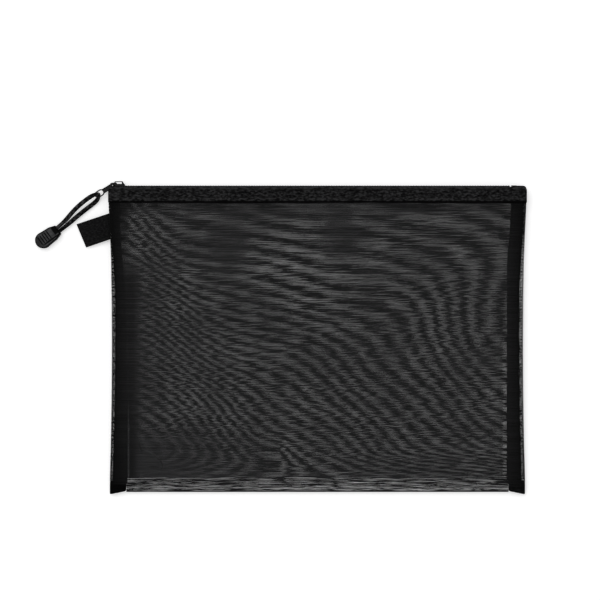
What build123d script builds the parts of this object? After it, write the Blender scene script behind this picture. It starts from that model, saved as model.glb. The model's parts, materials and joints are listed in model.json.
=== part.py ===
from build123d import *
import math
import os

# Zip document wallet of black nylon mesh for A4 papers, lying on its back.
# +X runs along the zip, +Y points to the zip and +Z is up through the thickness.
# The origin is on the resting face, under the middle of the wallet. Millimetres.

# Mesh bag: one cloth folded at the bottom, with its side seams turned inside
WAIST_WIDTH = 320.0      # side to side at half height
CORNER_FLARE = 2.0       # how far each corner stands out past the waist
WALLET_HEIGHT = 238.0    # bottom fold to the top of the zip coil
FOLD_THICKNESS = 6.4     # over the bottom fold
MESH = 0.45              # cloth thickness
SEAM_VALLEY = 1.0        # depth of the groove along each side seam
SEAM_STEPS = 4           # straight runs that follow each bowed side
JOGGLE = 3.0             # run in which the back cloth climbs over its tape
MESH_SETBACK = 0.3       # cloth edge to the upright lip of the tape

# Binding tape folded over the two seam allowances inside each side
BINDING = 0.6            # tape thickness
BINDING_WIDTH = 9.9      # folded width
BINDING_GAP = 0.2        # binding edge to the start of the rounded cloth edge
TAIL_RISE = 7.7          # height of the wad of folded tape above the bottom fold
TAIL_DROP = 3.2          # how far that wad's outer corner hangs below the fold
TAIL_SLANT = 2.6         # how much higher its inner corner is
TAIL_WIDTH = 12.7
TAIL_GAP = 0.15          # wad to the cloth over and under it
TAIL_CORNER = 1.5
TAIL_EDGE = 1.2

# Zip tapes, each a flat sewn band with a lip turned up beside the coil
TAPE = 0.5               # tape thickness
TAPE_OVERHANG = 0.6      # tape end past the corner of the bag
TAPE_WIDTH = 12.0        # sewn band, from its lower edge to the lip
TAPE_CORNER = 3.0        # rounding of the band's upper corners
ZIP_THICKNESS = 9.6      # over both tapes
LIP_SLOT = 2.0           # gap between the two lips

# Coil, as two interlocking toothed strips
COIL_HEIGHT = 1.2        # coil above the lip
COIL_HALF = 2.1          # half width of the closed coil
COIL_BACKBONE = 1.2      # width of the strip that carries the teeth
TOOTH_PITCH = 2.0
TOOTH_ROOT = 0.9         # tooth width at the backbone
TOOTH_TIP = 0.7
TOOTH_REACH = 0.75       # how far each tooth passes the middle line

# Stops at the ends of the coil
STOP_CLEARANCE = 0.7     # slider nose to top stop
STOP_LENGTH = 1.5
STOP_WALL = 0.45
BOTTOM_STOP_INSET = 11.6  # end of the tape to the bottom stop
BOTTOM_STOP_LENGTH = 4.0

# Slider
SLIDER_INSET = 2.9       # end of the tape to the slider's nose with the zip closed
SLIDER_LENGTH = 9.6
SLIDER_PLATE = 0.8
SLIDER_RUNNING = 0.3     # gap between the slider and what it runs along
SLIDER_DEPTH = 1.0       # lower plate below the lips
NOSE_HALF = 3.4
REAR_HALF = 3.0
SLIDER_RIM = 0.5
POST_HALF = 0.8
POST_LENGTH = 2.3
ARCH_HALF = 0.7          # half width of the arch that holds the pull link
ARCH_RISE = 2.2
ARCH_BAND = 0.65         # metal over the arch's hole
ARCH_INSET = 0.3         # arch foot to the ends of the plate
ARCH_NOSE_RUN = 1.8      # run of the slope at the nose
ARCH_REAR_RUN = 1.4      # run of the slope at the rear
ARCH_FOOT = 2.0          # length of each foot

# Pull link, a cranked yoke with an eye for the cord
PIN_DIAMETER = 0.85
PIN_INSET = 3.0          # pin centre behind the slider's nose
PIN_RISE = 0.62          # pin centre above the slider's plate
PRONG = 0.6
PRONG_GAP = 0.25         # prong to arch
PRONG_DEPTH = 0.85
BRIDGE_LENGTH = 1.6      # slider's nose to the front of the bridge
BRIDGE_RISE = 0.4        # bridge above the coil
LINK_HALF = 0.7          # half thickness of the bar and the eye, which hang between the lips
LINK_WIDTH = 3.7
LINK_SEAT = 0.95         # middle of the bar under the bridge, below the top of the coil
LINK_ANGLE = 212.0       # direction of the bar, in degrees from +X
EYE_SLOT = 3.6           # width of the eye's slot
EYE_RIM = 0.9
EYE_NEAR = 6.9           # start of the slot, along the bar
EYE_FAR = 13.2           # end of the slot, along the bar
EYE_END_PLAY = 2.1       # cord centre to the end of the slot

# Pull cord, doubled through the eye
CORD_DIAMETER = 3.0
CORD_BEND = 2.9          # half the height of the turn through the eye
CORD_RADIUS = 2.8        # radius of the turns at the eye

# Moulded grip on the cord
GRIP_AWAY = (-31.5, -27.55)  # cord end of the grip, from the eye
GRIP_ANGLE = 215.6       # direction of the grip, in degrees from +X
GRIP_LENGTH = 20.5
GRIP_NARROW = 7.9        # width at the cord end
GRIP_SHOULDER = 11.2     # width at the shoulders
GRIP_SHOULDER_AT = 5.0   # shoulders, from the cord end
GRIP_WIDE = 12.6
GRIP_THICKNESS = 6.4
GRIP_CLEARANCE = 0.3     # grip above the surface the wallet lies on
GRIP_EDGE = 1.4
GRIP_NOTCH = 3.0         # depth of the mouth
GRIP_MOUTH = 6.5         # width of the mouth
GRIP_MOUTH_HEIGHT = 3.6
GRIP_BORE_PLAY = 0.15
PANEL_START = 7.4        # ribbed panel, from the cord end
PANEL_RIM = 1.3
PANEL_DEPTH = 0.5
RIB_COUNT = 5
RIB_PITCH = 2.1
RIB_WIDTH = 1.0
KNOT_RADIUS = 1.8
KNOT_PLAY = 0.3
STRAND_SPACING = 3.05
STRAND_SEAT = 8.0        # cord ends inside the grip, from the cord end

# Hang tab, a folded tape loop sewn into the left seam
TAB_DROP = 31.7          # top of the zip coil to the middle of the tab's seat
TAB_WIDTH = 19.6
TAB_TAPE = 0.5
TAB_ANGLE = 198.3        # direction of the tab, in degrees from +X
TAB_DROOP = 4.0          # how far the tab hangs below level, in degrees
TAB_REACH = 23.8         # hinge line to the fold
TAB_LOOP = 1.3           # radius of the fold
TAB_STANDOFF = 0.6       # hinge line outside the cloth edge
TAB_PINCH = 5.0          # length that the seam presses flat

# Stiffening sheet on the back cloth, cut to fit the bag, which it lines up to the zip band
SHEET = 0.5
SHEET_SIDE_ROOM = 11.5   # side of the bag at its waist to the sheet
SHEET_FOLD_ROOM = 6.8    # start of the bottom fold to the sheet
SHEET_TUCK = 2.2         # how far the sheet reaches under the band
SHEET_LEAD = 0.4         # start of its climb before the cloth's

# Sewing thread
THREAD = 0.25            # height of a stitch above the tape
STITCH_LENGTH = 3.0
STITCH_PITCH = 4.2
STITCH_WIDTH = 0.5
STITCH_END = 2.5         # first stitch to the end of its row
UPPER_ROW = 2.15         # lip to the upper row
LOWER_ROW = 3.55         # lower edge of the band to the lower row
BINDING_ROW = 2.4        # inner edge of the binding to its row

# Places that follow from the sizes
TOP_Y = WALLET_HEIGHT / 2
LIP_Y = TOP_Y - COIL_HEIGHT
BAND_Y = LIP_Y - TAPE_WIDTH
TAPE_END = WAIST_WIDTH / 2 + CORNER_FLARE + TAPE_OVERHANG
BOTTOM_STOP_X = TAPE_END - BOTTOM_STOP_INSET
FOLD_Y = FOLD_THICKNESS / 2 - TOP_Y
TAIL_Y = TAIL_RISE - TOP_Y
MESH_TOP_Y = LIP_Y - TAPE - MESH_SETBACK
BACK_TAPE_Z = THREAD
FRONT_TAPE_Z = THREAD + ZIP_THICKNESS
ZIP_Z = THREAD + ZIP_THICKNESS / 2
UPPER_PLATE_Y = TOP_Y + SLIDER_RUNNING
LOWER_PLATE_Y = LIP_Y - TAPE - SLIDER_DEPTH
SEAM_TOP_Y = LOWER_PLATE_Y - SLIDER_PLATE - SLIDER_RUNNING
SLIDER_X = SLIDER_INSET - TAPE_END
SLIDER_REAR = SLIDER_X + SLIDER_LENGTH
PLATE_TOP_Y = UPPER_PLATE_Y + SLIDER_PLATE

# Heights at which the flared sides are set out, with straight runs between
MESH_STATIONS = [FOLD_Y, TAIL_Y]
for step in range(1, SEAM_STEPS):
    MESH_STATIONS.append(TAIL_Y + (BAND_Y - JOGGLE - TAIL_Y) * step / SEAM_STEPS)
MESH_STATIONS += [BAND_Y - JOGGLE, BAND_Y, SEAM_TOP_Y, MESH_TOP_Y]


def between(value, low, high):
    """Share of the way from low to high, held to 0..1."""
    return min(max((value - low) / (high - low), 0.0), 1.0)


class Station:
    """Cross-section of the mesh bag at one height y, right half."""

    def __init__(self, y):
        self.y = y
        self.half = WAIST_WIDTH / 2 + CORNER_FLARE * (y / TOP_Y) ** 2
        climb = between(y, FOLD_Y, BAND_Y)
        self.front = FOLD_THICKNESS + (FRONT_TAPE_Z - TAPE - FOLD_THICKNESS) * climb
        self.back = (BACK_TAPE_Z + TAPE) * between(y, BAND_Y - JOGGLE, BAND_Y)
        self.middle = (self.front + self.back) / 2
        self.lobe = (self.front - self.back) / 4
        self.root = self.half - self.lobe
        self.binding_outer = self.root - BINDING_GAP
        self.binding_inner = self.binding_outer - BINDING_WIDTH

    def point(self, x, z):
        return Vector(x, self.y, z)

    def polygon(self, corners):
        return Wire.make_polygon([self.point(x, z) for x, z in corners], close=True)


def interpolated(y):
    """Station at any y, on the straight runs between the mesh stations."""
    exact = Station(y)
    for low, high in zip(MESH_STATIONS, MESH_STATIONS[1:]):
        if low <= y <= high:
            share = between(y, low, high)
            exact.half = Station(low).half * (1 - share) + Station(high).half * share
    return exact


def stations(low, high):
    return [Station(y) for y in MESH_STATIONS if low <= y <= high]


def ruled(wires):
    return Solid.make_loft(wires, ruled=True)


def mirrored(solid):
    return solid.mirror(Plane.YZ)


def box_between(low, high):
    """Box from one corner to the opposite one."""
    size = Vector(*high) - Vector(*low)
    return Pos(*((Vector(*low) + Vector(*high)) * 0.5)) * Box(size.X, size.Y, size.Z)


def along_x(points, start, end):
    """Prism along X of a closed outline given as (y, z) points."""
    face = Face(Wire.make_polygon([Vector(start, y, z) for y, z in points], close=True))
    return Solid.extrude(face, Vector(end - start, 0, 0))


# Mesh bag

def mesh_panel(low_face, high_face):
    """Sheet of cloth between two lines of (y, z) points, trimmed to the flared outline."""
    reach = WAIST_WIDTH
    sheet = along_x(low_face + high_face[::-1], -reach, reach)
    sides = stations(FOLD_Y, MESH_TOP_Y)
    outline = [Vector(s.root, s.y) for s in sides] + [Vector(-s.root, s.y) for s in sides[::-1]]
    plan = Face(Wire.make_polygon(outline, close=True))
    return sheet & Solid.extrude(plan, Vector(0, 0, FRONT_TAPE_Z))


def mesh_front():
    bends = [Station(y) for y in (FOLD_Y, BAND_Y, MESH_TOP_Y)]
    return mesh_panel([(s.y, s.front - MESH) for s in bends], [(s.y, s.front) for s in bends])


def mesh_back():
    bends = [Station(y) for y in (FOLD_Y, BAND_Y - JOGGLE, BAND_Y, MESH_TOP_Y)]
    return mesh_panel([(s.y, s.back) for s in bends], [(s.y, s.back + MESH) for s in bends])


def tail_inner_x():
    return Station(FOLD_Y).half - TAIL_WIDTH


def mesh_bottom_fold():
    radius = FOLD_THICKNESS / 2
    length = 2 * (tail_inner_x() - TAIL_GAP)
    ring = Circle(radius) - Circle(radius - MESH)
    half_ring = ring & Pos(-radius, 0) * Rectangle(2 * radius, 2 * FOLD_THICKNESS)
    across = Plane(origin=(-length / 2, FOLD_Y, radius), x_dir=(0, 1, 0), z_dir=(1, 0, 0))
    return extrude(across * half_ring, length)


def edge_wire(s):
    """Rounded cloth edge with its two lobes, the seam groove and the seam allowances."""
    flange = s.binding_inner + BINDING
    allowance_low = s.middle - MESH
    allowance_high = s.middle + MESH
    front_bulge = s.middle + s.lobe
    back_bulge = s.middle - s.lobe
    groove = s.point(s.half - SEAM_VALLEY, s.middle)
    front_outer = s.point(s.root, s.front)
    back_outer = s.point(s.root, s.back)
    front_inner = s.point(s.root, s.front - MESH)
    back_inner = s.point(s.root, s.back + MESH)
    root_high = s.point(s.root, allowance_high)
    root_low = s.point(s.root, allowance_low)
    end_high = s.point(flange, allowance_high)
    end_low = s.point(flange, allowance_low)
    return Wire([
        Edge.make_three_point_arc(front_outer, s.point(s.half, front_bulge), groove),
        Edge.make_three_point_arc(groove, s.point(s.half, back_bulge), back_outer),
        Edge.make_line(back_outer, back_inner),
        Edge.make_three_point_arc(back_inner, s.point(s.half - MESH, back_bulge), root_low),
        Edge.make_line(root_low, end_low),
        Edge.make_line(end_low, end_high),
        Edge.make_line(end_high, root_high),
        Edge.make_three_point_arc(root_high, s.point(s.half - MESH, front_bulge), front_inner),
        Edge.make_line(front_inner, front_outer),
    ])


def mesh_edge_right():
    return ruled([edge_wire(s) for s in stations(TAIL_Y, SEAM_TOP_Y)])


# Binding

def binding_wire(s):
    outside = MESH + BINDING
    floor = s.binding_inner + BINDING
    return s.polygon([
        (s.binding_inner, s.middle - outside),
        (s.binding_outer, s.middle - outside),
        (s.binding_outer, s.middle - MESH),
        (floor, s.middle - MESH),
        (floor, s.middle + MESH),
        (s.binding_outer, s.middle + MESH),
        (s.binding_outer, s.middle + outside),
        (s.binding_inner, s.middle + outside),
    ])


def binding_tail():
    """Wad of folded binding tape that closes the bottom corner, lowest at its outer side."""
    inner = tail_inner_x()
    outer = Station(FOLD_Y).half
    lowest = -TOP_Y - TAIL_DROP
    floor = MESH + TAIL_GAP
    plan = make_face(Polyline(
        (inner, lowest + TAIL_SLANT),
        (outer, lowest),
        (outer, TAIL_Y),
        (inner, TAIL_Y),
        close=True,
    ))
    wad = extrude(Pos(0, 0, floor) * plan, FOLD_THICKNESS - 2 * floor)
    corners = wad.edges().filter_by(Axis.Z).sort_by(Axis.Y)[:2]
    wad = fillet(corners, TAIL_CORNER)
    rims = wad.faces().sort_by(Axis.Z)[-1].edges() + wad.faces().sort_by(Axis.Z)[0].edges()
    return fillet(rims, TAIL_EDGE)


def binding_right():
    folded = ruled([binding_wire(s) for s in stations(TAIL_Y, BAND_Y)])
    return binding_tail() + folded


# Zip

def tape_profile(outer_z, inward):
    """Band and lip of one tape, as (y, z) points. inward is -1 for the front tape and 1 for the back."""
    lip_edge = ZIP_Z - inward * LIP_SLOT / 2
    inner_z = outer_z + inward * TAPE
    return [
        (BAND_Y, outer_z),
        (LIP_Y, outer_z),
        (LIP_Y, lip_edge),
        (LIP_Y - TAPE, lip_edge),
        (LIP_Y - TAPE, inner_z),
        (BAND_Y, inner_z),
    ]


def zip_tape(outer_z, inward):
    tape = along_x(tape_profile(outer_z, inward), -TAPE_END, TAPE_END)
    depth = 2 * (FRONT_TAPE_Z + THREAD)
    outline = box_between((-TAPE_END, BAND_Y, -depth / 2), (TAPE_END, LIP_Y, depth / 2))
    outline = fillet(outline.edges().filter_by(Axis.Z).group_by(Axis.Y)[-1], TAPE_CORNER)
    return tape & outline


def coil_strip(side):
    """Backbone with its row of teeth. side is 1 for the front strip and -1 for the back."""
    start = SLIDER_X - STOP_CLEARANCE
    first = SLIDER_X + POST_LENGTH + SLIDER_RUNNING
    last = BOTTOM_STOP_X - SLIDER_RUNNING
    count = int((last - first) / TOOTH_PITCH) - 1
    outer = ZIP_Z + side * COIL_HALF
    root = ZIP_Z + side * (COIL_HALF - COIL_BACKBONE)
    tip = ZIP_Z - side * TOOTH_REACH
    offset = TOOTH_PITCH * (0.75 - side * 0.25)
    outline = [(start, outer), (start, root)]
    for index in range(count):
        middle = first + offset + index * TOOTH_PITCH
        outline.append((middle - TOOTH_ROOT / 2, root))
        outline.append((middle - TOOTH_TIP / 2, tip))
        outline.append((middle + TOOTH_TIP / 2, tip))
        outline.append((middle + TOOTH_ROOT / 2, root))
    outline += [(last, root), (last, outer)]
    face = Face(Wire.make_polygon([Vector(x, LIP_Y, z) for x, z in outline], close=True))
    return Solid.extrude(face, Vector(0, COIL_HEIGHT, 0))


def zip_top_stops():
    """One clip pinched over the end of each lip."""
    end = SLIDER_X - STOP_CLEARANCE
    inner = LIP_SLOT / 2
    clips = []
    for side in (1, -1):
        low_z, high_z = sorted((ZIP_Z + side * inner, ZIP_Z + side * COIL_HALF))
        for low_y in (LIP_Y - TAPE - STOP_WALL, LIP_Y):
            depth = COIL_HEIGHT if low_y == LIP_Y else STOP_WALL
            clips.append(box_between((end - STOP_LENGTH, low_y, low_z), (end, low_y + depth, high_z)))
    return clips


def zip_bottom_stop():
    """Staple through the slot, with a flange on each side of the lips."""
    end = BOTTOM_STOP_X + BOTTOM_STOP_LENGTH
    web = LIP_SLOT / 2
    outline = [
        (LIP_Y - TAPE - STOP_WALL, ZIP_Z - COIL_HALF),
        (LIP_Y - TAPE, ZIP_Z - COIL_HALF),
        (LIP_Y - TAPE, ZIP_Z - web),
        (LIP_Y, ZIP_Z - web),
        (LIP_Y, ZIP_Z - COIL_HALF),
        (TOP_Y, ZIP_Z - COIL_HALF),
        (TOP_Y, ZIP_Z + COIL_HALF),
        (LIP_Y, ZIP_Z + COIL_HALF),
        (LIP_Y, ZIP_Z + web),
        (LIP_Y - TAPE, ZIP_Z + web),
        (LIP_Y - TAPE, ZIP_Z + COIL_HALF),
        (LIP_Y - TAPE - STOP_WALL, ZIP_Z + COIL_HALF),
    ]
    return along_x(outline, BOTTOM_STOP_X, end)


def slider_outline(y):
    """Plate outline, wide at the nose, on the plane at height y."""
    shoulder = SLIDER_X + SLIDER_LENGTH / 5
    corners = [
        (SLIDER_X, -NOSE_HALF + SLIDER_PLATE),
        (shoulder, -NOSE_HALF),
        (SLIDER_REAR, -REAR_HALF),
        (SLIDER_REAR, REAR_HALF),
        (shoulder, NOSE_HALF),
        (SLIDER_X, NOSE_HALF - SLIDER_PLATE),
    ]
    plan = make_face(Polyline(*corners, close=True))
    plan = fillet(plan.vertices(), SLIDER_PLATE)
    return Plane(origin=(0, y, ZIP_Z), x_dir=(1, 0, 0), z_dir=(0, 1, 0)) * plan


def slider_rims():
    """Turned edges of both plates, which leave a slot for the tape on each side."""
    gap_low = LIP_Y - TAPE - SLIDER_RUNNING
    gap_high = LIP_Y + SLIDER_RUNNING
    block = extrude(slider_outline(LOWER_PLATE_Y), UPPER_PLATE_Y - LOWER_PLATE_Y)
    channel = REAR_HALF - SLIDER_RIM
    outside = 2 * NOSE_HALF
    before = SLIDER_X - SLIDER_PLATE
    behind = SLIDER_REAR + SLIDER_PLATE
    throat = box_between(
        (before, LOWER_PLATE_Y, ZIP_Z - channel),
        (behind, UPPER_PLATE_Y, ZIP_Z + channel),
    )
    slot = box_between(
        (before, gap_low, ZIP_Z - outside),
        (behind, gap_high, ZIP_Z + outside),
    )
    mouth = box_between(
        (before, LOWER_PLATE_Y, ZIP_Z - outside),
        (SLIDER_X + POST_LENGTH, UPPER_PLATE_Y, ZIP_Z + outside),
    )
    return block - throat - slot - mouth


def slider_post():
    """Wedge at the nose that parts the coil and joins the two plates."""
    tail = SLIDER_X + POST_LENGTH
    nose = SLIDER_X + SLIDER_PLATE / 2
    corners = [
        (nose, -POST_HALF / 2),
        (nose + POST_LENGTH / 3, -POST_HALF),
        (tail, 0),
        (nose + POST_LENGTH / 3, POST_HALF),
        (nose, POST_HALF / 2),
    ]
    plane = Plane(origin=(0, LOWER_PLATE_Y, ZIP_Z), x_dir=(1, 0, 0), z_dir=(0, 1, 0))
    return extrude(plane * make_face(Polyline(*corners, close=True)), UPPER_PLATE_Y - LOWER_PLATE_Y)


def slider_arch():
    """Bridge on the upper plate that the pull link hangs in."""
    left = SLIDER_X + ARCH_INSET
    right = SLIDER_REAR - ARCH_INSET
    crown = PLATE_TOP_Y + ARCH_RISE
    hump = make_face(Polyline(
        (left, PLATE_TOP_Y),
        (left + ARCH_NOSE_RUN, crown),
        (right - ARCH_REAR_RUN, crown),
        (right, PLATE_TOP_Y),
        close=True,
    ))
    hump = fillet(hump.vertices().group_by(Axis.Y)[-1], ARCH_RISE / 3)
    hole_height = ARCH_RISE - ARCH_BAND
    hole = Pos((left + right) / 2, PLATE_TOP_Y + hole_height / 2)
    hole = hole * Rectangle(right - left - 2 * ARCH_FOOT, hole_height)
    hole = fillet(hole.vertices().group_by(Axis.Y)[-1], ARCH_BAND / 2)
    plane = Plane(origin=(0, 0, ZIP_Z - ARCH_HALF))
    return extrude(plane * (hump - hole), 2 * ARCH_HALF)


def slider_body():
    upper = extrude(slider_outline(UPPER_PLATE_Y), SLIDER_PLATE)
    lower = extrude(slider_outline(LOWER_PLATE_Y), -SLIDER_PLATE)
    return upper + lower + slider_rims() + slider_post() + slider_arch()


def pin_place():
    """Centre of the pull link's pin, in the arch's hole."""
    return Vector(SLIDER_X + PIN_INSET, PLATE_TOP_Y + PIN_RISE, ZIP_Z)


def bar_place():
    """Middle of the link's bar where it leaves the bridge."""
    return Vector(SLIDER_X - BRIDGE_LENGTH, TOP_Y - LINK_SEAT, ZIP_Z)


def heading(angle):
    return Vector(math.cos(math.radians(angle)), math.sin(math.radians(angle)), 0)


def eye_place():
    """Where the cord passes through the eye."""
    return bar_place() + heading(LINK_ANGLE) * (EYE_FAR - EYE_END_PLAY)


def link_bar():
    """Flat bar with its eye, cut off in front of the slider's nose."""
    slot_half = EYE_SLOT / 2
    near = EYE_NEAR + slot_half
    far = EYE_FAR - slot_half
    run = far - near
    plate = Rectangle(2 * near, LINK_WIDTH)
    plate += Pos(near + run / 2, 0) * SlotCenterToCenter(run, EYE_SLOT + 2 * EYE_RIM)
    plate -= Pos(near + run / 2, 0) * SlotCenterToCenter(run, EYE_SLOT)
    start = bar_place()
    plane = Plane(origin=start - Vector(0, 0, LINK_HALF), x_dir=heading(LINK_ANGLE), z_dir=(0, 0, 1))
    reach = 2 * EYE_FAR
    beyond = box_between(
        (SLIDER_X - PRONG_GAP, start.Y - reach, start.Z - reach),
        (SLIDER_X + reach, start.Y + reach, start.Z + reach),
    )
    return extrude(plane * plate, 2 * LINK_HALF) - beyond


def link_bridge(top, reach):
    """Block in front of the nose that joins the prongs to the bar, sloped like the bar."""
    right = SLIDER_X - PRONG_GAP
    knee = right - PRONG_GAP
    left = SLIDER_X - BRIDGE_LENGTH
    base = TOP_Y + BRIDGE_RISE
    slope = math.tan(math.radians(LINK_ANGLE - 180))
    side = make_face(Polyline(
        (left, base),
        (right, base),
        (right, top),
        (knee, top),
        (left, top - slope * (knee - left)),
        close=True,
    ))
    return extrude(Pos(0, 0, ZIP_Z - reach) * side, 2 * reach)


def pull_link():
    pin = pin_place()
    reach = ARCH_HALF + PRONG_GAP + PRONG
    top = pin.Y + PRONG_DEPTH / 2
    link = link_bar() + link_bridge(top, reach)
    link += Pos(pin) * Cylinder(PIN_DIAMETER / 2, 2 * reach)
    for side in (1, -1):
        inner_z, outer_z = sorted((ZIP_Z + side * (reach - PRONG), ZIP_Z + side * reach))
        low = (SLIDER_X - 2 * PRONG_GAP, top - PRONG_DEPTH, inner_z)
        link += box_between(low, (pin.X, top, outer_z))
        link += Pos(pin.X, pin.Y, (inner_z + outer_z) / 2) * Cylinder(PRONG_DEPTH / 2, PRONG)
    return link


# Pull cord and grip

def grip_plane(z):
    eye = eye_place()
    entry = Vector(eye.X + GRIP_AWAY[0], eye.Y + GRIP_AWAY[1], z)
    return Plane(origin=entry, x_dir=heading(GRIP_ANGLE), z_dir=(0, 0, 1))


def grip_middle():
    return GRIP_CLEARANCE + GRIP_THICKNESS / 2


def strand_end(side, distance):
    """Point on one strand's straight run in the grip. side is 1 for the upper strand."""
    return grip_plane(grip_middle()).from_local_coords(Vector(distance, -side * STRAND_SPACING / 2, 0))


def cord_route():
    """Route of the cord from the grip, over the eye and back, chosen by hand."""
    eye = eye_place()
    over = eye + Vector(0, 0, CORD_BEND)
    under = eye - Vector(0, 0, CORD_BEND)
    upper = [
        strand_end(1, STRAND_SEAT),
        strand_end(1, -5.5),
        eye + Vector(-17.9, -10.9, 0.35),
        eye + Vector(-5.9, 0.1, 2.65),
    ]
    lower = [
        eye + Vector(0.1, -5.5, -3.05),
        eye + Vector(-12.2, -14.2, -2.95),
        strand_end(-1, -3.5),
        strand_end(-1, STRAND_SEAT),
    ]
    return upper + [over, under] + lower


def corner_radii(points):
    """Radius of each corner: the largest that its runs allow, or the turn through the eye."""
    eye_height = eye_place().Z
    radii = []
    for before, corner, after in zip(points, points[1:], points[2:]):
        shorter = min((corner - before).length, (after - corner).length)
        turn = math.radians((corner - before).get_angle(after - corner))
        largest = 0.45 * shorter / math.tan(turn / 2)
        at_eye = math.isclose(abs(corner.Z - eye_height), CORD_BEND)
        radii.append(CORD_RADIUS if at_eye else largest)
    return radii


def pull_cord():
    points = cord_route()
    radii = corner_radii(points)
    print("pull cord radii:", [round(radius, 1) for radius in radii])
    path = FilletPolyline(*points, radius=radii)
    start = Plane(origin=path @ 0, z_dir=path % 0)
    cord = sweep(start * Circle(CORD_DIAMETER / 2), path=path)
    section = math.pi * CORD_DIAMETER ** 2 / 4
    print("pull cord volume share:", round(cord.volume / (section * path.length), 4))
    return cord


def grip_outline():
    straight = GRIP_LENGTH - GRIP_WIDE / 2
    narrow = GRIP_NARROW / 2
    shoulder = GRIP_SHOULDER / 2
    wide = GRIP_WIDE / 2
    sides = Polyline(
        (straight, -wide),
        (GRIP_SHOULDER_AT, -shoulder),
        (0, -narrow),
        (0, narrow),
        (GRIP_SHOULDER_AT, shoulder),
        (straight, wide),
    )
    end = ThreePointArc((straight, wide), (GRIP_LENGTH, 0), (straight, -wide))
    return make_face([sides, end])


def grip_panel():
    """Recess between the ribs of one face, in the grip's plane."""
    inside = offset(grip_outline(), -PANEL_RIM)
    panel = inside & Pos(PANEL_START + GRIP_LENGTH / 2, 0) * Rectangle(GRIP_LENGTH, GRIP_WIDE)
    first = PANEL_START + RIB_PITCH - RIB_WIDTH / 2
    for index in range(RIB_COUNT):
        panel -= Pos(first + index * RIB_PITCH, 0) * Rectangle(RIB_WIDTH, GRIP_WIDE)
    return panel


def cord_grip():
    low = GRIP_CLEARANCE
    high = low + GRIP_THICKNESS
    body = extrude(grip_plane(low) * grip_outline(), GRIP_THICKNESS)
    rims = body.faces().sort_by(Axis.Z)[-1].edges() + body.faces().sort_by(Axis.Z)[0].edges()
    body = fillet(rims, GRIP_EDGE)
    body -= extrude(grip_plane(high - PANEL_DEPTH) * grip_panel(), PANEL_DEPTH)
    body -= extrude(grip_plane(low) * grip_panel(), PANEL_DEPTH)
    mouth = Rectangle(2 * GRIP_NOTCH, GRIP_MOUTH)
    mouth_low = grip_middle() - GRIP_MOUTH_HEIGHT / 2
    body -= extrude(grip_plane(mouth_low) * mouth, GRIP_MOUTH_HEIGHT)
    bore_height = CORD_DIAMETER + 2 * GRIP_BORE_PLAY
    entry = grip_plane(grip_middle()).origin
    bore_plane = Plane(origin=entry, x_dir=heading(GRIP_ANGLE + 90), z_dir=heading(GRIP_ANGLE))
    bore = extrude(bore_plane * SlotCenterToCenter(STRAND_SPACING, bore_height), STRAND_SEAT)
    chamber_half = KNOT_RADIUS + KNOT_PLAY
    chamber = Pos(STRAND_SEAT + chamber_half, 0) * RectangleRounded(
        2 * chamber_half, 2 * chamber_half, chamber_half / 2
    )
    chamber_low = grip_middle() - chamber_half
    return body - bore - extrude(grip_plane(chamber_low) * chamber, 2 * chamber_half)


def knot_place():
    """The knot touches both cord ends."""
    return grip_plane(grip_middle()).from_local_coords(Vector(STRAND_SEAT + KNOT_RADIUS, 0, 0))


def cord_knot():
    return Pos(knot_place()) * Sphere(KNOT_RADIUS)


# Hang tab

def tab_hinge():
    s = interpolated(TOP_Y - TAB_DROP)
    return s.point(-s.half - TAB_STANDOFF, s.middle)


def hang_tab():
    """Loop of tape, pressed flat at the seam and open at its fold."""
    hinge = tab_hinge()
    droop = math.radians(TAB_DROOP)
    along = heading(TAB_ANGLE) * math.cos(droop) - Vector(0, 0, math.sin(droop))
    plane = Plane(origin=hinge, x_dir=along, z_dir=heading(TAB_ANGLE - 90))
    fold = TAB_REACH - TAB_LOOP
    outer = make_hull(
        (Pos(TAB_PINCH, 0) * Circle(TAB_TAPE) + Pos(fold, 0) * Circle(TAB_LOOP)).edges()
    )
    inner = make_hull((
        Pos(TAB_PINCH + TAB_TAPE, 0) * Circle(TAB_TAPE / 10) + Pos(fold, 0) * Circle(TAB_LOOP - TAB_TAPE)
    ).edges())
    root = Pos(-TAB_WIDTH / 2 + TAB_PINCH, 0) * Rectangle(TAB_WIDTH + TAB_PINCH, 2 * TAB_TAPE)
    profile = outer + root - inner
    strip = extrude(plane * profile, TAB_WIDTH / 2, both=True)
    wallet_side = box_between(
        (hinge.X, hinge.Y - 2 * TAB_WIDTH, hinge.Z - TAB_WIDTH),
        (hinge.X + 2 * TAB_WIDTH, hinge.Y + 2 * TAB_WIDTH, hinge.Z + TAB_WIDTH),
    )
    strip -= wallet_side
    seat = Plane(origin=hinge, x_dir=(1, 0, 0), z_dir=(0, 1, 0))
    bead = extrude(seat * Circle(TAB_TAPE), TAB_WIDTH / 2, both=True)
    return strip + bead


# Stiffening sheet and sewing

def divider_sheet():
    """Sheet that lies on the back cloth and climbs with it under the zip band."""
    half = WAIST_WIDTH / 2 - SHEET_SIDE_ROOM
    raised = Station(BAND_Y).back + MESH
    line = [
        (FOLD_Y + SHEET_FOLD_ROOM, MESH),
        (BAND_Y - JOGGLE - SHEET_LEAD, MESH),
        (BAND_Y - SHEET_LEAD, raised),
        (BAND_Y + SHEET_TUCK, raised),
    ]
    upper = [(y, z + SHEET) for y, z in line]
    return along_x(line + upper[::-1], -half, half)


def stitch_places(low, high):
    count = int((high - low - STITCH_LENGTH) / STITCH_PITCH) + 1
    slack = (high - low - STITCH_LENGTH - (count - 1) * STITCH_PITCH) / 2
    return [low + slack + index * STITCH_PITCH for index in range(count)]


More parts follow.
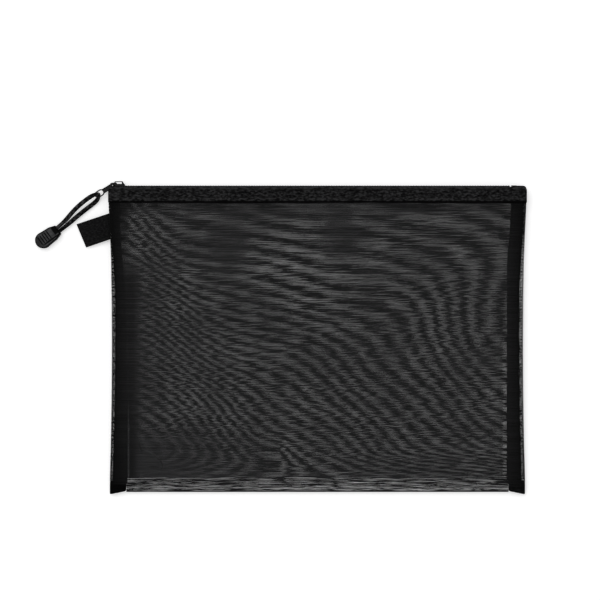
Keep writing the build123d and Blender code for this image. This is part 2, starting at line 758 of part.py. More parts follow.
def zip_stitching(low_z):
    half = TAPE_END - STITCH_END
    stitches = []
    for row in (LIP_Y - UPPER_ROW, BAND_Y + LOWER_ROW):
        for x in stitch_places(-half, half):
            low = (x, row - STITCH_WIDTH / 2, low_z)
            high = (x + STITCH_LENGTH, row + STITCH_WIDTH / 2, low_z + THREAD)
            stitches.append(box_between(low, high))
    return stitches


def side_stitching_right():
    stitches = []
    for y in stitch_places(TAIL_Y + STITCH_END, BAND_Y - STITCH_END):
        s = interpolated(y + STITCH_LENGTH)
        row = s.half - s.lobe - BINDING_GAP - BINDING_WIDTH + BINDING_ROW
        low_z = s.middle + MESH + BINDING
        low = (row - STITCH_WIDTH / 2, y, low_z)
        high = (row + STITCH_WIDTH / 2, y + STITCH_LENGTH, low_z + THREAD)
        stitches.append(box_between(low, high))
    return stitches


def group(solids):
    return Compound(children=[Solid(part.solid().wrapped) for part in solids])


def main():
    edge = mesh_edge_right()
    binding = binding_right()
    side_stitches = side_stitching_right()
    pieces = {
        "mesh_front": mesh_front(),
        "mesh_back": mesh_back(),
        "mesh_bottom_fold": mesh_bottom_fold(),
        "mesh_edge_right": edge,
        "mesh_edge_left": mirrored(edge),
        "binding_right": binding,
        "binding_left": mirrored(binding),
        "zip_tape_front": zip_tape(FRONT_TAPE_Z, -1),
        "zip_tape_back": zip_tape(BACK_TAPE_Z, 1),
        "zip_coil_front": coil_strip(1),
        "zip_coil_back": coil_strip(-1),
        "zip_top_stops": group(zip_top_stops()),
        "zip_bottom_stop": zip_bottom_stop(),
        "zip_stitching_front": group(zip_stitching(FRONT_TAPE_Z)),
        "zip_stitching_back": group(zip_stitching(BACK_TAPE_Z - THREAD)),
        "side_stitching_right": group(side_stitches),
        "side_stitching_left": group([mirrored(stitch) for stitch in side_stitches]),
        "divider_sheet": divider_sheet(),
        "slider_body": slider_body(),
        "pull_link": pull_link(),
        "pull_cord": pull_cord(),
        "cord_grip": cord_grip(),
        "cord_knot": cord_knot(),
        "hang_tab": hang_tab(),
    }
    os.makedirs("parts", exist_ok=True)
    for node, piece in pieces.items():
        export_step(piece, f"parts/{node}.step")
    print("slider travel:", round(BOTTOM_STOP_X - SLIDER_RUNNING - SLIDER_REAR, 3))
    print("pin:", pin_place(), "eye:", eye_place(), "tab hinge:", tab_hinge())


main()
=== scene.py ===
"""Black mesh zip wallet for A4 papers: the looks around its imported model.

Shapes are worked out in millimetres and put into meshes in metres. +X runs along the zip, +Y points to
the zip and +Z is up, with the wallet lying on its back on z = 0. Throughout, side is 1 for the front
layer and -1 for the back one, and hand is 1 for the right edge and -1 for the left one.
"""
import json
import math

import bmesh
import bpy
import numpy as np
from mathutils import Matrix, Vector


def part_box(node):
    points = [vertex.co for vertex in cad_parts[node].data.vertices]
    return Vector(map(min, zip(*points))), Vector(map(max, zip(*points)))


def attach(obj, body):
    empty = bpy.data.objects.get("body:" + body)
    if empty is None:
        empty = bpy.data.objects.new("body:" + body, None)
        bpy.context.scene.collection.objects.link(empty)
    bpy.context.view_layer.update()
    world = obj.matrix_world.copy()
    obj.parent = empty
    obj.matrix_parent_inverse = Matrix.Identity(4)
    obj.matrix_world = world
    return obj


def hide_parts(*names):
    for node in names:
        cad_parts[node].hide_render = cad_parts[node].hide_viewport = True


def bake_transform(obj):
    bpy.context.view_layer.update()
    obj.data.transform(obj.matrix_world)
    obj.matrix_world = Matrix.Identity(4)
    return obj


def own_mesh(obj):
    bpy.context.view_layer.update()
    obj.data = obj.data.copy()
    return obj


MM = 0.001

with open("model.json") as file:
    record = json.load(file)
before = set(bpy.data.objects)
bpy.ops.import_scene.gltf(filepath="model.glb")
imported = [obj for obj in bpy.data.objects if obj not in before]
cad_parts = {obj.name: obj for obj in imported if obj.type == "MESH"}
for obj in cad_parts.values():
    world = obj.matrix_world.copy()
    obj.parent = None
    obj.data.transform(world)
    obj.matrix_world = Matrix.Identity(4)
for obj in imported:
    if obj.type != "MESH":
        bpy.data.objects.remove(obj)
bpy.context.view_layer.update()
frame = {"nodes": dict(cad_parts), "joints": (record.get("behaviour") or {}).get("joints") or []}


def node_box(node):
    """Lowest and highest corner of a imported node, in millimetres."""
    low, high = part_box(node)
    return np.array(low) / MM, np.array(high) / MM


def joint_place(name):
    """A point on a joint's axis, in millimetres."""
    joint = next(j for j in frame["joints"] if j["name"] == name)
    return np.array(joint["pos_m"]) / MM


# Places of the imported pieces

TAPE_LOW, TAPE_HIGH = node_box("zip_tape_front")
FOLD_LOW, FOLD_HIGH = node_box("mesh_bottom_fold")
EDGE_LOW, EDGE_HIGH = node_box("mesh_edge_right")
SHEET_LOW, SHEET_HIGH = node_box("divider_sheet")

TAPE = 0.5                                    # thickness of the zip tapes
BAND_Y = TAPE_LOW[1]                          # lower edge of the zip band
LIP_Y = TAPE_HIGH[1]                          # lip of the tapes, beside the coil
FRONT_TAPE_Z = TAPE_HIGH[2]
BACK_TAPE_Z = node_box("zip_tape_back")[0][2]
TOP_Y = node_box("zip_coil_front")[1][1]
FOLD_Y = FOLD_HIGH[1]                         # where the cloth starts round the bottom fold
FOLD_RADIUS = (FOLD_HIGH[2] - FOLD_LOW[2]) / 2
FOLD_HALF = FOLD_HIGH[0]
TAIL_Y = EDGE_LOW[1]                          # top of the wads of binding at the bottom corners
TAIL_LOW_Y = node_box("binding_right")[0][1]
SEAM_TOP_Y = EDGE_HIGH[1]
CLOTH_TOP_Y = node_box("mesh_front")[1][1]
ZIP_Z = (BACK_TAPE_Z + FRONT_TAPE_Z) / 2
EYE = joint_place("puller_flip")


# Mesh building

SAME_SPOT = 1e-7         # metres


def grid_faces(rows, columns, close_columns=False):
    """Quads between neighbours on a grid of points, with the last column joined to the first if closed."""
    row = np.arange(rows - 1)
    column = np.arange(columns if close_columns else columns - 1)
    row, column = np.meshgrid(row, column, indexing="ij")
    next_column = (column + 1) % columns
    corners = [
        row * columns + column,
        row * columns + next_column,
        (row + 1) * columns + next_column,
        (row + 1) * columns + column,
    ]
    return np.stack(corners, -1).reshape(-1, 4)


def strip_faces(rows, columns):
    """Faces of a thick strip. Its section goes out along one face and back along the other, so each end is
    closed by quads from a point of the section to the one across from it."""
    ring = np.arange(columns // 2 - 1)
    end = np.stack([ring, ring + 1, columns - 2 - ring, columns - 1 - ring], -1)
    last = (rows - 1) * columns
    return np.concatenate([grid_faces(rows, columns, close_columns=True), end[:, ::-1], end + last])


def repeated(faces, stride, count):
    """The faces of one shape, repeated for count shapes of stride points each."""
    return (faces[None] + stride * np.arange(count)[:, None, None]).reshape(-1, 4)


def outward(points, faces):
    """Faces turned so that the volume they enclose is positive: the sum of corner . (corner x corner) / 6."""
    a, b, c, d = (points[faces[:, k]] for k in range(4))
    volume = np.einsum("ij,ij->i", a, np.cross(b, c)) + np.einsum("ij,ij->i", a, np.cross(c, d))
    return faces if volume.sum() > 0 else faces[:, ::-1]


def make_mesh(name, points, faces, attributes=None, uv=None, merge=False):
    """Mesh in metres of points in millimetres and four-cornered faces. uv is one pair for each point."""
    points = np.asarray(points, float).reshape(-1, 3)
    faces = outward(points, np.asarray(faces))
    mesh = bpy.data.meshes.new(name)
    mesh.vertices.add(len(points))
    mesh.vertices.foreach_set("co", (points * MM).astype(np.float32).ravel())
    mesh.loops.add(faces.size)
    mesh.loops.foreach_set("vertex_index", faces.astype(np.int32).ravel())
    mesh.polygons.add(len(faces))
    mesh.polygons.foreach_set("loop_start", np.arange(0, faces.size, 4, dtype=np.int32))
    mesh.update(calc_edges=True)
    for key, values in (attributes or {}).items():
        layer = mesh.attributes.new(key, "FLOAT", "POINT")
        layer.data.foreach_set("value", np.asarray(values, np.float32).ravel())
    if uv is not None:
        layer = mesh.uv_layers.new(name="weave")
        layer.data.foreach_set("uv", np.asarray(uv, np.float32).reshape(-1, 2)[faces.ravel()].ravel())
    mesh.shade_smooth()
    if merge:
        close_poles(mesh)
    return mesh


def close_poles(mesh):
    """Joins the points that lie on one spot, as at the tips of stitches."""
    work = bmesh.new()
    work.from_mesh(mesh)
    bmesh.ops.remove_doubles(work, verts=work.verts, dist=SAME_SPOT)
    work.to_mesh(mesh)
    work.free()


def add_to_scene(name, data):
    """Object of a mesh, camera or lamp in the scene."""
    holder = bpy.data.objects.new(name, data)
    bpy.context.scene.collection.objects.link(holder)
    return holder


def make_piece(mesh, finish, replaced, body="wallet"):
    """Object of a mesh, with its finish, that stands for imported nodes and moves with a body, if any."""
    piece = add_to_scene(mesh.name, mesh)
    mesh.materials.append(finish)
    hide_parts(*replaced)
    if body:
        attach(piece, body)
    return piece


def smooth_step(value, low, high):
    """0 up to low, 1 from high on and 3t^2 - 2t^3 between. With low above high it falls instead."""
    share = np.clip((value - low) / (high - low), 0, 1)
    return share * share * (3 - 2 * share)


def unit(vectors):
    """Vectors of the same directions, one long."""
    return vectors / np.linalg.norm(vectors, axis=-1, keepdims=True)


def waves(value, *parts):
    """Sum of sine waves of (height, run, start), where run is the length of a radian."""
    return sum(height * np.sin(value / run + start) for height, run, start in parts)


def thinned(share, power, least):
    """Share of a tape's thickness at a share of its width from -1 to 1: the root of one less the width's
    power, with least under the root at the edges."""
    return np.sqrt(np.clip(1 - share ** power, least, 1))


def tube_points(path, across, radius, turn):
    """Rings round a path: its points plus the radius times the cosine and the sine of the turn, along the
    share of across that is square to the path and along the tangent crossed with that."""
    tangent = unit(np.gradient(path, axis=0))
    first = unit(across - tangent * (tangent @ across)[:, None])
    second = np.cross(tangent, first)
    ring = np.cos(turn)[None, :, None] * first[:, None] + np.sin(turn)[None, :, None] * second[:, None]
    return path[:, None] + radius[..., None] * ring


# Shader maths

COOL = 1.03              # black nylon is a little blue


class Value:
    """A number that changes over a surface. Arithmetic on values adds Math nodes to their tree."""

    def __init__(self, nodes, socket):
        self.nodes = nodes
        self.socket = socket

    def maths(self, operation, first, second=None):
        inputs = {0: first} if second is None else {0: first, 1: second}
        return self.nodes.node("ShaderNodeMath", {"operation": operation}, inputs)

    def __add__(self, other):
        return self.maths("ADD", self, other)

    __radd__ = __add__

    def __sub__(self, other):
        return self.maths("SUBTRACT", self, other)

    def __rsub__(self, other):
        return self.maths("SUBTRACT", other, self)

    def __mul__(self, other):
        return self.maths("MULTIPLY", self, other)

    __rmul__ = __mul__

    def __abs__(self):
        return self.maths("ABSOLUTE", self)

    def sine(self):
        return self.maths("SINE", self)


class Nodes:
    """A node tree of a material or of the world."""

    def __init__(self, tree):
        self.tree = tree

    def connect(self, socket, value):
        """Links a value to a socket, or sets the socket to a plain number or colour."""
        if isinstance(value, Value):
            self.tree.links.new(value.socket, socket)
        else:
            socket.default_value = value

    def node(self, kind, settings=None, inputs=None, output=0):
        """Adds a node: its settings, with a ramp's stops among them, then its sockets' values or links."""
        made = self.tree.nodes.new(kind)
        for key, value in (settings or {}).items():
            if key == "stops":
                self.fill_ramp(made.color_ramp, value)
            else:
                setattr(made, key, value)
        for socket, value in (inputs or {}).items():
            self.connect(made.inputs[socket], value)
        return Value(self, made.outputs[output])

    @staticmethod
    def fill_ramp(ramp, stops):
        """Sets a colour ramp to (place, grey) stops."""
        while len(ramp.elements) < len(stops):
            ramp.elements.new(1.0)
        for element, (place, grey) in zip(ramp.elements, stops):
            element.position = place
            element.color = (grey, grey, grey * COOL, 1.0)

    def outputs(self, value):
        """All the outputs of the node that a value comes from, by name."""
        return {socket.name: Value(self, socket) for socket in value.socket.node.outputs}

    def ramp(self, value, low, high):
        """0 where the value is at low and 1 where it is at high, smooth between and level past them."""
        inputs = {"Value": value, "From Min": low, "From Max": high, "To Min": 0.0, "To Max": 1.0}
        return self.node("ShaderNodeMapRange", {"interpolation_type": "SMOOTHSTEP"}, inputs)

    def stripe(self, value, middle, outer, inner=0.0):
        """1 where the value is within inner of the middle and 0 where it is past outer, smooth between."""
        return self.ramp(abs(value - middle), outer, inner)

    def seen(self):
        """1 for rays that show the background: from the camera, off gloss or through clear surfaces."""
        rays = self.outputs(self.node("ShaderNodeLightPath"))
        kinds = rays["Is Camera Ray"] + rays["Is Glossy Ray"] + rays["Is Transmission Ray"]
        return self.ramp(kinds, 0.0, 1.0)


class Finish(Nodes):
    """A material on one Principled shader, built from nodes."""

    def __init__(self, name, **sockets):
        self.material = bpy.data.materials.new(name)
        self.material.use_nodes = True
        super().__init__(self.material.node_tree)
        self.shader = self.tree.nodes["Principled BSDF"]
        for socket, value in sockets.items():
            self.set(socket.replace("_", " ").title().replace("Ior", "IOR"), value)

    def set(self, socket, value):
        """Sets or links a socket of the shader."""
        self.connect(self.shader.inputs[socket], value)

    def place(self):
        """Position on the object, in metres."""
        return self.node("ShaderNodeTexCoord", output="Object")

    def axes(self):
        """X, Y and Z of the object, in millimetres."""
        split = self.outputs(self.node("ShaderNodeSeparateXYZ", inputs={0: self.place()}))
        return [split[axis] * (1 / MM) for axis in "XYZ"]

    def uv(self):
        """The piece's own two coordinates: millimetres along it and the turn round it."""
        weave = self.node("ShaderNodeUVMap", {"uv_map": "weave"})
        split = self.outputs(self.node("ShaderNodeSeparateXYZ", inputs={0: weave}))
        return split["X"], split["Y"]

    def facing(self):
        """How much the surface faces up or down, from 0 to 1."""
        normal = self.node("ShaderNodeTexCoord", output="Normal")
        return abs(self.node("ShaderNodeSeparateXYZ", inputs={0: normal}, output="Z"))

    def attribute(self, name):
        """A number that the mesh's points carry."""
        return self.node("ShaderNodeAttribute", {"attribute_name": name}, output="Fac")

    def noise(self, size, detail=2.0, roughness=0.5, stretch=(1, 1, 1)):
        """Noise with features of about size millimetres, drawn out along the axes by stretch."""
        scale = [1 / (size * MM * s) for s in stretch]
        vector = self.node("ShaderNodeMapping", inputs={0: self.place(), "Scale": scale})
        inputs = {"Vector": vector, "Scale": 1.0, "Detail": detail, "Roughness": roughness}
        return self.node("ShaderNodeTexNoise", inputs=inputs)

    def tone(self, value, *stops):
        """Grey along a ramp of (place, grey) stops."""
        self.set("Base Color", self.node("ShaderNodeValToRGB", {"stops": stops}, {"Fac": value}))

    def bump(self, height, depth):
        """Bump of a height from 0 to 1 that stands depth millimetres deep."""
        self.set("Normal", self.node("ShaderNodeBump", inputs={"Height": height, "Distance": depth * MM}))


# Finishes of cloth, tape and thread

WAD_TUCK = 2.0           # how far the binding runs down into its wad
PLY_PITCH = 0.45         # plies of the sewing thread


def mesh_thread_finish():
    """Black nylon yarn: each thread has its own grey, and all are darkened over the seams by painted shade.
    """
    finish = Finish("mesh_thread", roughness=0.6, specular_ior_level=0.045)
    finish.tone(finish.attribute("tone"), (0.0, 0.004), (0.3, 0.013), (0.8, 0.022), (1.0, 0.036))
    return finish.material


def woven_finish(name, rib, speck, low, high, paler=None):
    """Plain-woven tape: weft and warp rib millimetres apart, the product of two sines, with specks of lint
    about speck millimetres long, in greys from low to high. paler gives a value to lighten the weave by, from
    the finish and its axes."""
    finish = Finish(name, roughness=0.8, specular_ior_level=0.025)
    axes = finish.axes()
    turn = 2 * math.pi / rib
    weave = (axes[0] * turn).sine() * (axes[1] * turn).sine() * 0.5 + 0.5
    lint = finish.noise(speck, roughness=0.6, stretch=(1.6, 0.8, 1.0))
    value = lint * 0.85 + weave * 0.12 + finish.noise(22.0) * 0.1
    # paler also carries painted shade: the dark wads of the bindings and the shadow along the zip band's
    # lower edge.
    if paler:
        value = value + paler(finish, axes)
    finish.tone(value, (0.42, low), (0.54, low + (high - low) * 0.3), (0.68, high))
    finish.bump(weave * 0.6 + lint * 0.4, 0.18)
    return finish.material


def band_lines(finish, axes):
    """Paler lines of the zip tape under the coil and above its lower edge, and painted shadow that makes that
    edge near black.
    """
    upper = finish.stripe(axes[1], LIP_Y - 0.9, 1.4)
    lower = finish.stripe(axes[1], BAND_Y + 2.5, 1.3)
    # Painted shadow along the band's lower edge.
    edge_shadow = finish.ramp(axes[1], BAND_Y + 1.3, BAND_Y + 0.3)
    return upper * 0.10 + lower * 0.06 - edge_shadow * 0.25


def wad_shade(finish, axes):
    """Painted shade: the folded wads at the bottom corners are darker than the tape, above all on the left.
    """
    wad = finish.ramp(axes[1], TAIL_Y, TAIL_Y - WAD_TUCK)
    return wad * (finish.ramp(axes[0], -WAIST_HALF, WAIST_HALF) * 0.28 - 0.3)


def sewing_thread_finish():
    """Twisted thread: plies cross its length at a slant."""
    finish = Finish("sewing_thread", roughness=0.65, specular_ior_level=0.06)
    x, y, z = finish.axes()
    plies = ((x + y + z) * (2 * math.pi / PLY_PITCH)).sine() * 0.5 + 0.5
    finish.tone(plies * 0.6 + finish.noise(1.5) * 0.5, (0.2, 0.002), (0.9, 0.014))
    finish.bump(plies, 0.06)
    return finish.material


# Finish of the film

FILM_SPOTS = (           # broad clouds: middle, half axes and change of density
    ((-69.6, 76.5), (15, 18), 0.30),
    ((17.5, 80.0), (13, 20), 0.30),
    ((-13.6, 49.0), (36, 32), -0.22),
    ((-107.0, -95.0), (55, 24), 0.22),
)


def film_finish():
    """Smoked film. It is dense along its left margin and in its upper left corner, darker and denser under
    the band where shade is painted, pale along its cut edge at the lower left, clear at the lower right and
    clouded between."""
    finish = Finish("smoked_film", roughness=0.5, specular_ior_level=0.06)
    x, y = finish.axes()[:2]
    left = SHEET_LOW[0]
    right = SHEET_HIGH[0]
    density = (finish.noise(40.0) - 0.5) * 0.5 + 0.33
    density = density + finish.ramp(x, -105.0, -135.0) * finish.ramp(y, 80.0, 30.0) * 0.15
    for middle, half, change in FILM_SPOTS:
        across = (x - middle[0]) * (1 / half[0])
        down = (y - middle[1]) * (1 / half[1])
        density = density + finish.ramp(across * across + down * down, 2.0, 0.0) * change
    margin = finish.ramp(x, left + 12.0, left + 3.0) * finish.ramp(y, 70.0, 45.0)
    corner = finish.ramp(x, left + 4.0, left - 3.0) * finish.ramp(y, 52.0, 78.0)
    dark = margin + corner * 0.8
    # Painted shade under the band: darker colour and more alpha towards it.
    shade_under_band = finish.ramp(y, BAND_Y - 14.0, BAND_Y - 3.0)
    clear = finish.ramp(x, right - 5.0, right - 2.5) * finish.ramp(y, 30.0, -30.0)
    cut = finish.stripe(x, left + 0.9, 0.9, 0.3) * finish.ramp(y, -45.0, -75.0)
    finish.tone(dark * 0.6 + shade_under_band * 0.3 + 0.25 - cut, (0.0, 0.3), (0.25, 0.14), (0.85, 0.01))
    finish.set("Alpha", (density + dark * 0.4 + shade_under_band * 0.2) * (1 - clear))
    return finish.material


# Finishes of the zip and its pull

BRAID_LAY = 1.9          # length of cord in which the yarns of the braid cross
BRAID_YARNS = 4          # crossings round the cord

GRIP_AWAY = np.array([-31.5, -27.55, -1.55])  # cord end of the grip, from the eye
GRIP_ANGLE = math.radians(215.6)
# RIB_PITCH to BEVEL_LINE place the shade painted on the grip.
RIB_PITCH = 2.1
RIB_HALF = 3.2           # half length of the grooves between the ribs, and half width of the mouth
GRIP_SOFT = 0.4          # softness of their ends

# Places along the grip, from its cord end

MOUTH_END = 3.8
RIB_START = 7.4
BEVEL_END = 14.5
RIB_END = 17.5

# Places across the grip, from its middle

MOUTH_MIDDLE = -1.0
RIB_MIDDLE = -0.7
BEVEL_LINE = 3.5


def coil_finish():
    """Glossy black nylon wire."""
    finish = Finish("coil_nylon", roughness=0.38, specular_ior_level=0.14)
    finish.tone(finish.noise(3.0), (0.3, 0.006), (0.7, 0.014))
    return finish.material


def lacquer_finish():
    """Black lacquered zinc, with a few rubbed spots."""
    finish = Finish("slider_lacquer", roughness=0.34, specular_ior_level=0.09)
    rub = finish.noise(1.2, 4.0, 0.7)
    finish.tone(rub, (0.5, 0.003), (0.68, 0.010), (0.8, 0.06))
    finish.set("Roughness", 0.28 + rub * 0.2)
    finish.bump(finish.noise(0.5), 0.02)
    return finish.material


def cord_finish():
    """Braid: two sets of yarns wind round the cord and cross, with lighter flecks on their crowns."""
    finish = Finish("braided_cord", roughness=0.75, specular_ior_level=0.03)
    along, around = finish.uv()
    slope = 2 * math.pi / BRAID_LAY
    one = (along * slope + around * BRAID_YARNS).sine()
    two = (along * slope - around * BRAID_YARNS).sine()
    crown = abs(one * two)
    fleck = finish.noise(2.0, roughness=0.6)
    finish.tone(crown * 0.2 + fleck * 0.85, (0.40, 0.001), (0.54, 0.005), (0.68, 0.10))
    finish.bump(crown, 0.12)
    return finish.material


def grip_finish():
    """Soft moulded plastic with a fine spark-eroded grain, grey and mottled on its faces. Shade is painted
    between the ribs, along a line inside its right edge, on its rounded rims and in the mouth that takes the
    cord."""
    finish = Finish("grip_plastic", roughness=0.55, specular_ior_level=0.03)
    x, y = finish.axes()[:2]
    start = EYE + GRIP_AWAY
    x = x - start[0]
    y = y - start[1]
    along = x * math.cos(GRIP_ANGLE) + y * math.sin(GRIP_ANGLE)
    across = y * math.cos(GRIP_ANGLE) - x * math.sin(GRIP_ANGLE)
    # Painted shade: the grooves between the ribs, the mouth, a line along the bevel and the tilted rims are
    # darkened in the base colour.
    wave = ((along - RIB_START) * (2 * math.pi / RIB_PITCH)).sine()
    ribbed = finish.ramp(along, RIB_START - 0.3, RIB_START + 0.3)
    ribbed = ribbed * finish.ramp(along, RIB_END + 0.5, RIB_END - 0.5)
    wide = RIB_HALF + GRIP_SOFT
    narrow = RIB_HALF - GRIP_SOFT
    groove_shade = finish.ramp(wave, 0.0, 0.7) * ribbed * finish.stripe(across, RIB_MIDDLE, wide, narrow)
    mouth = finish.ramp(along, MOUTH_END + GRIP_SOFT, MOUTH_END - GRIP_SOFT)
    mouth = mouth * finish.stripe(across, MOUTH_MIDDLE, wide, narrow)
    line = finish.stripe(across, BEVEL_LINE, 0.7, 0.3) * finish.ramp(along, BEVEL_END + 1.5, BEVEL_END - 1.5)
    rim_shade = finish.ramp(finish.facing(), 0.99, 0.85)
    mottle = finish.noise(3.0, 4.0, 0.6) * 1.2 + 0.05 - finish.ramp(along, 11.0, 18.0) * 0.15
    finish.tone(mottle - groove_shade - line - mouth - rim_shade, (0.0, 0.001), (0.5, 0.03), (0.9, 0.085))
    finish.bump(finish.noise(0.25), 0.03)
    return finish.material


# Bag sections

WAIST_HALF = 160.0       # half width at half height
CORNER_FLARE = 2.0       # how far each corner stands out past the waist
TOP_FLARE = 0.8          # how much further the sides stand out just under the band
TOP_FLARE_Y = 60.0       # where that starts
JOGGLE = 3.0             # run in which the back cloth climbs over its tape
EDGE_PUFF = 0.4          # how far the round edges swell out
SEAM_VALLEY = 1.0        # depth of the groove along each side seam
SAG = 1.2                # how far the front cloth sinks in the middle
FOLD_DROP = 1.0          # how far the bottom fold hangs below its round
FOLD_END = 0.75 * math.pi  # furthest that a thread turns round the fold


def half_width(y):
    """Half width of the bag: the waist, a flare that grows with the square of the height and a little more
    under the band."""
    return WAIST_HALF + CORNER_FLARE * (y / TOP_Y) ** 2 + TOP_FLARE * smooth_step(y, TOP_FLARE_Y, BAND_Y)


def front_z(y):
    """Outer face of the front cloth, a straight rise from the fold to the zip band."""
    return np.interp(y, [FOLD_Y, BAND_Y], [2 * FOLD_RADIUS, FRONT_TAPE_Z - TAPE])


def back_z(y):
    """Outer face of the back cloth, flat until it climbs over the back tape."""
    return np.interp(y, [BAND_Y - JOGGLE, BAND_Y], [0.0, BACK_TAPE_Z + TAPE])


def middle_z(y):
    """Height of the side seams, half-way between the two cloths."""
    return (front_z(y) + back_z(y)) / 2


def lobe_radius(y):
    """Radius of the two round lobes of each edge, one above and one below the seam."""
    return (front_z(y) - back_z(y)) / 4


def root_x(y):
    """Where the flat cloth ends and the round edge starts, as a distance from the wallet's middle."""
    return half_width(y) - lobe_radius(y)


def share_down(y):
    """0 at the zip band and 1 at the bottom fold."""
    return (BAND_Y - y) / (BAND_Y - FOLD_Y)


def sag(x, y):
    """Sink of the front cloth: a squared parabola across times half a sine wave from the band to the fold."""
    down = np.clip(share_down(y), 0, 1)
    return SAG * np.clip(1 - (x / WAIST_HALF) ** 2, 0, 1) ** 2 * np.sin(math.pi * down)


# Bands of the layered net, by u, the share across from the left, and v, the share down from the zip band

FOLD_PHASE = 18.0        # mean phase at the bottom fold
FOLD_TILT = 8.0          # how much it falls from left to right there
BANDS_DOWN = 20.5        # bands from the zip band to the fold
FAN_BANDS = 3.2          # bands in the fan on the left
FAN_TOP = 0.05           # u of the fan at the top
FAN_DRIFT = 0.22         # how far it moves in on the way down
FAN_WIDEN = 1.2          # how much it widens
TILT_MIDDLE = 0.53       # u about which the bands tilt
TILT_TOP = 4.0           # bands of tilt across the top
TILT_GAIN = 18.0         # how many more in the lower half
SWIRL_BANDS = 2.3        # bands in the swirl at the upper right
ARCH_BANDS = 1.5         # height of the one arch near the bottom
ARCH_U = 0.405
ARCH_HALF = 0.03
SWAYS = ((0.25, 9, 5, 0), (0.14, 23, -7, 1), (0.2, 11, 17, 0))  # bands, radians across and down, start
WARP_ACROSS = 22.0       # crossing lines from left to right
WARP_DOWN = 15.0         # and from the zip band to the fold


def band_phase(x, y):
    """Shift between the front and the back weft, in pitches. Light passes best where it is a whole number,
    so its level lines are the pale bands of the layered net. It grows down the bag. A fan on the left moves
    inwards on the way down, the bands tilt more in the lower half, swirl at the upper right, arch once near
    the bottom and even out at the fold."""
    u = (x + WAIST_HALF) / (2 * WAIST_HALF)
    v = np.clip(share_down(y), 0, 1)
    from_fan = (u - FAN_TOP - FAN_DRIFT * v) / (1 + FAN_WIDEN * v)
    fan = FAN_BANDS * smooth_step(from_fan, -0.06, 0.07)
    tilt = (u - TILT_MIDDLE) * (TILT_TOP + TILT_GAIN * smooth_step(v, 0.1, 0.75))
    swirl = SWIRL_BANDS * smooth_step(u, 0.72, 0.98) * smooth_step(v, 0.0, 0.35) * smooth_step(v, 0.75, 0.4)
    arch = ARCH_BANDS * np.exp(-((u - ARCH_U) / ARCH_HALF) ** 2) * smooth_step(v, 0.78, 0.95)
    sway = sum(bands * np.sin(across * u + down * v + start) for bands, across, down, start in SWAYS)
    settle = smooth_step(v, 0.86, 1.0)
    at_fold = FOLD_PHASE + FOLD_TILT * (0.5 - u)
    return (BANDS_DOWN * v - fan - tilt - swirl + arch + sway) * (1 - settle) + at_fold * settle


def warp_phase(x, y):
    """Shift between the front and the back warp, in pitches: slanting lines that break the bands up."""
    u = (x + WAIST_HALF) / (2 * WAIST_HALF)
    v = share_down(y)
    wobble = 0.8 * np.sin(7 * u + 3 * np.sin(4 * v + 1)) + 0.7 * np.sin(5 * v + 6 * u)
    return WARP_ACROSS * (u - 0.5) + WARP_DOWN * (v - 0.5) + wobble


# Net: weft threads run along X and warp threads along Y

PITCH = 0.5
WEFT_WIDTH = 0.325
WARP_WIDTH = 0.075
THREAD_HEIGHT = 0.14
NET_DEPTH = 0.24         # middle of the cloth below its outer face
CROSSING_LIFT = 0.07     # weft above and warp below the middle of the cloth
ROW_WANDER = 0.03        # spread of whole weft threads about their rows
STEP_WANDER = 0.06       # spread along each weft thread
WARP_WANDER = 0.02       # spread of the warp threads
FOLD_WANDER = 0.8        # how much further the weft strays at the fold
WANDER_RUN = (10.0, 6.0)  # where that starts and is full, above the fold line
GATHER = 2.4             # spacing of the gathers at the side seams
GATHER_PULL = 0.25       # how far they draw the weft together
EDGE_WEFT = {-1: 0.24, 1: 0.17}            # width of the weft round the left and the right edge
EDGE_WEFT_TOP = 0.48                       # the same near the band
EDGE_RUN = {-1: (20, 90), 1: (55, 95)}     # heights at which it starts and ends to widen
LOOSE_TURN = 0.1         # radians that a thread turns in where no seam holds it
LOOSE_SHARE = 0.1        # share of the fold that a thread past its end goes round
SPARE_ROWS = 8.0         # weft above the cloth's top, which the bands may shift into it
SPARE_LINES = 6.0        # warp past the waist
AT_TOP = 0.01            # rows nearer to the cloth's top than this lie wholly on it
WEFT_STEPS = 32          # straight runs of a weft thread between the seams
LOBE_STEPS = 3           # straight runs round each rounded edge
WARP_STEPS = 5           # straight runs of a warp thread down the panel
FOLD_STEPS = 3           # straight runs round the fold
LOBE_THREADS = 10        # warp threads round each edge
DARKEST = 0.3            # tone of the darkest thread, with the palest at 1
SEAM_SHADE = (-0.5, 3.0)  # where the shade painted on the threads over the seams starts and is full, from the sheet's edge
FOLD_ARC = (FOLD_RADIUS - NET_DEPTH) * math.pi / 2  # cloth in half of the fold


def cloth_point(x, y, side, lift):
    """Point of one cloth layer. Below the fold line y is arc length, so the point is at the fold's middle
    plus its radius times the cosine and sine of the turn, drawn down. lift moves the point outwards from the
    middle of the cloth."""
    radius = FOLD_RADIUS - NET_DEPTH + lift
    turn = np.minimum(np.maximum(FOLD_Y - y, 0) / (FOLD_RADIUS - NET_DEPTH), FOLD_END)
    flat = front_z(y) - NET_DEPTH + lift - sag(x, y) if side > 0 else back_z(y) + NET_DEPTH - lift
    z = np.where(y < FOLD_Y, FOLD_RADIUS + side * radius * np.cos(turn), flat)
    return np.stack([x, np.where(y < FOLD_Y, FOLD_Y - (radius + FOLD_DROP) * np.sin(turn), y), z], -1)


def lobe_point(turn, y, side, lift, hand):
    """Point of a rounded edge: the lobe's middle plus its radius times the sine of the turn outwards, puffed
    out a little, and the cosine up."""
    radius = lobe_radius(y) - NET_DEPTH + lift
    x = root_x(y) + (radius + EDGE_PUFF) * np.sin(turn)
    z = middle_z(y) + side * (lobe_radius(y) + radius * np.cos(turn))
    return np.stack([hand * x, y, z], -1)


def lobe_end(y):
    """Turn at which a lobe reaches the seam groove."""
    return math.pi - np.arcsin(np.clip(1 - SEAM_VALLEY / lobe_radius(y), 0, 1))


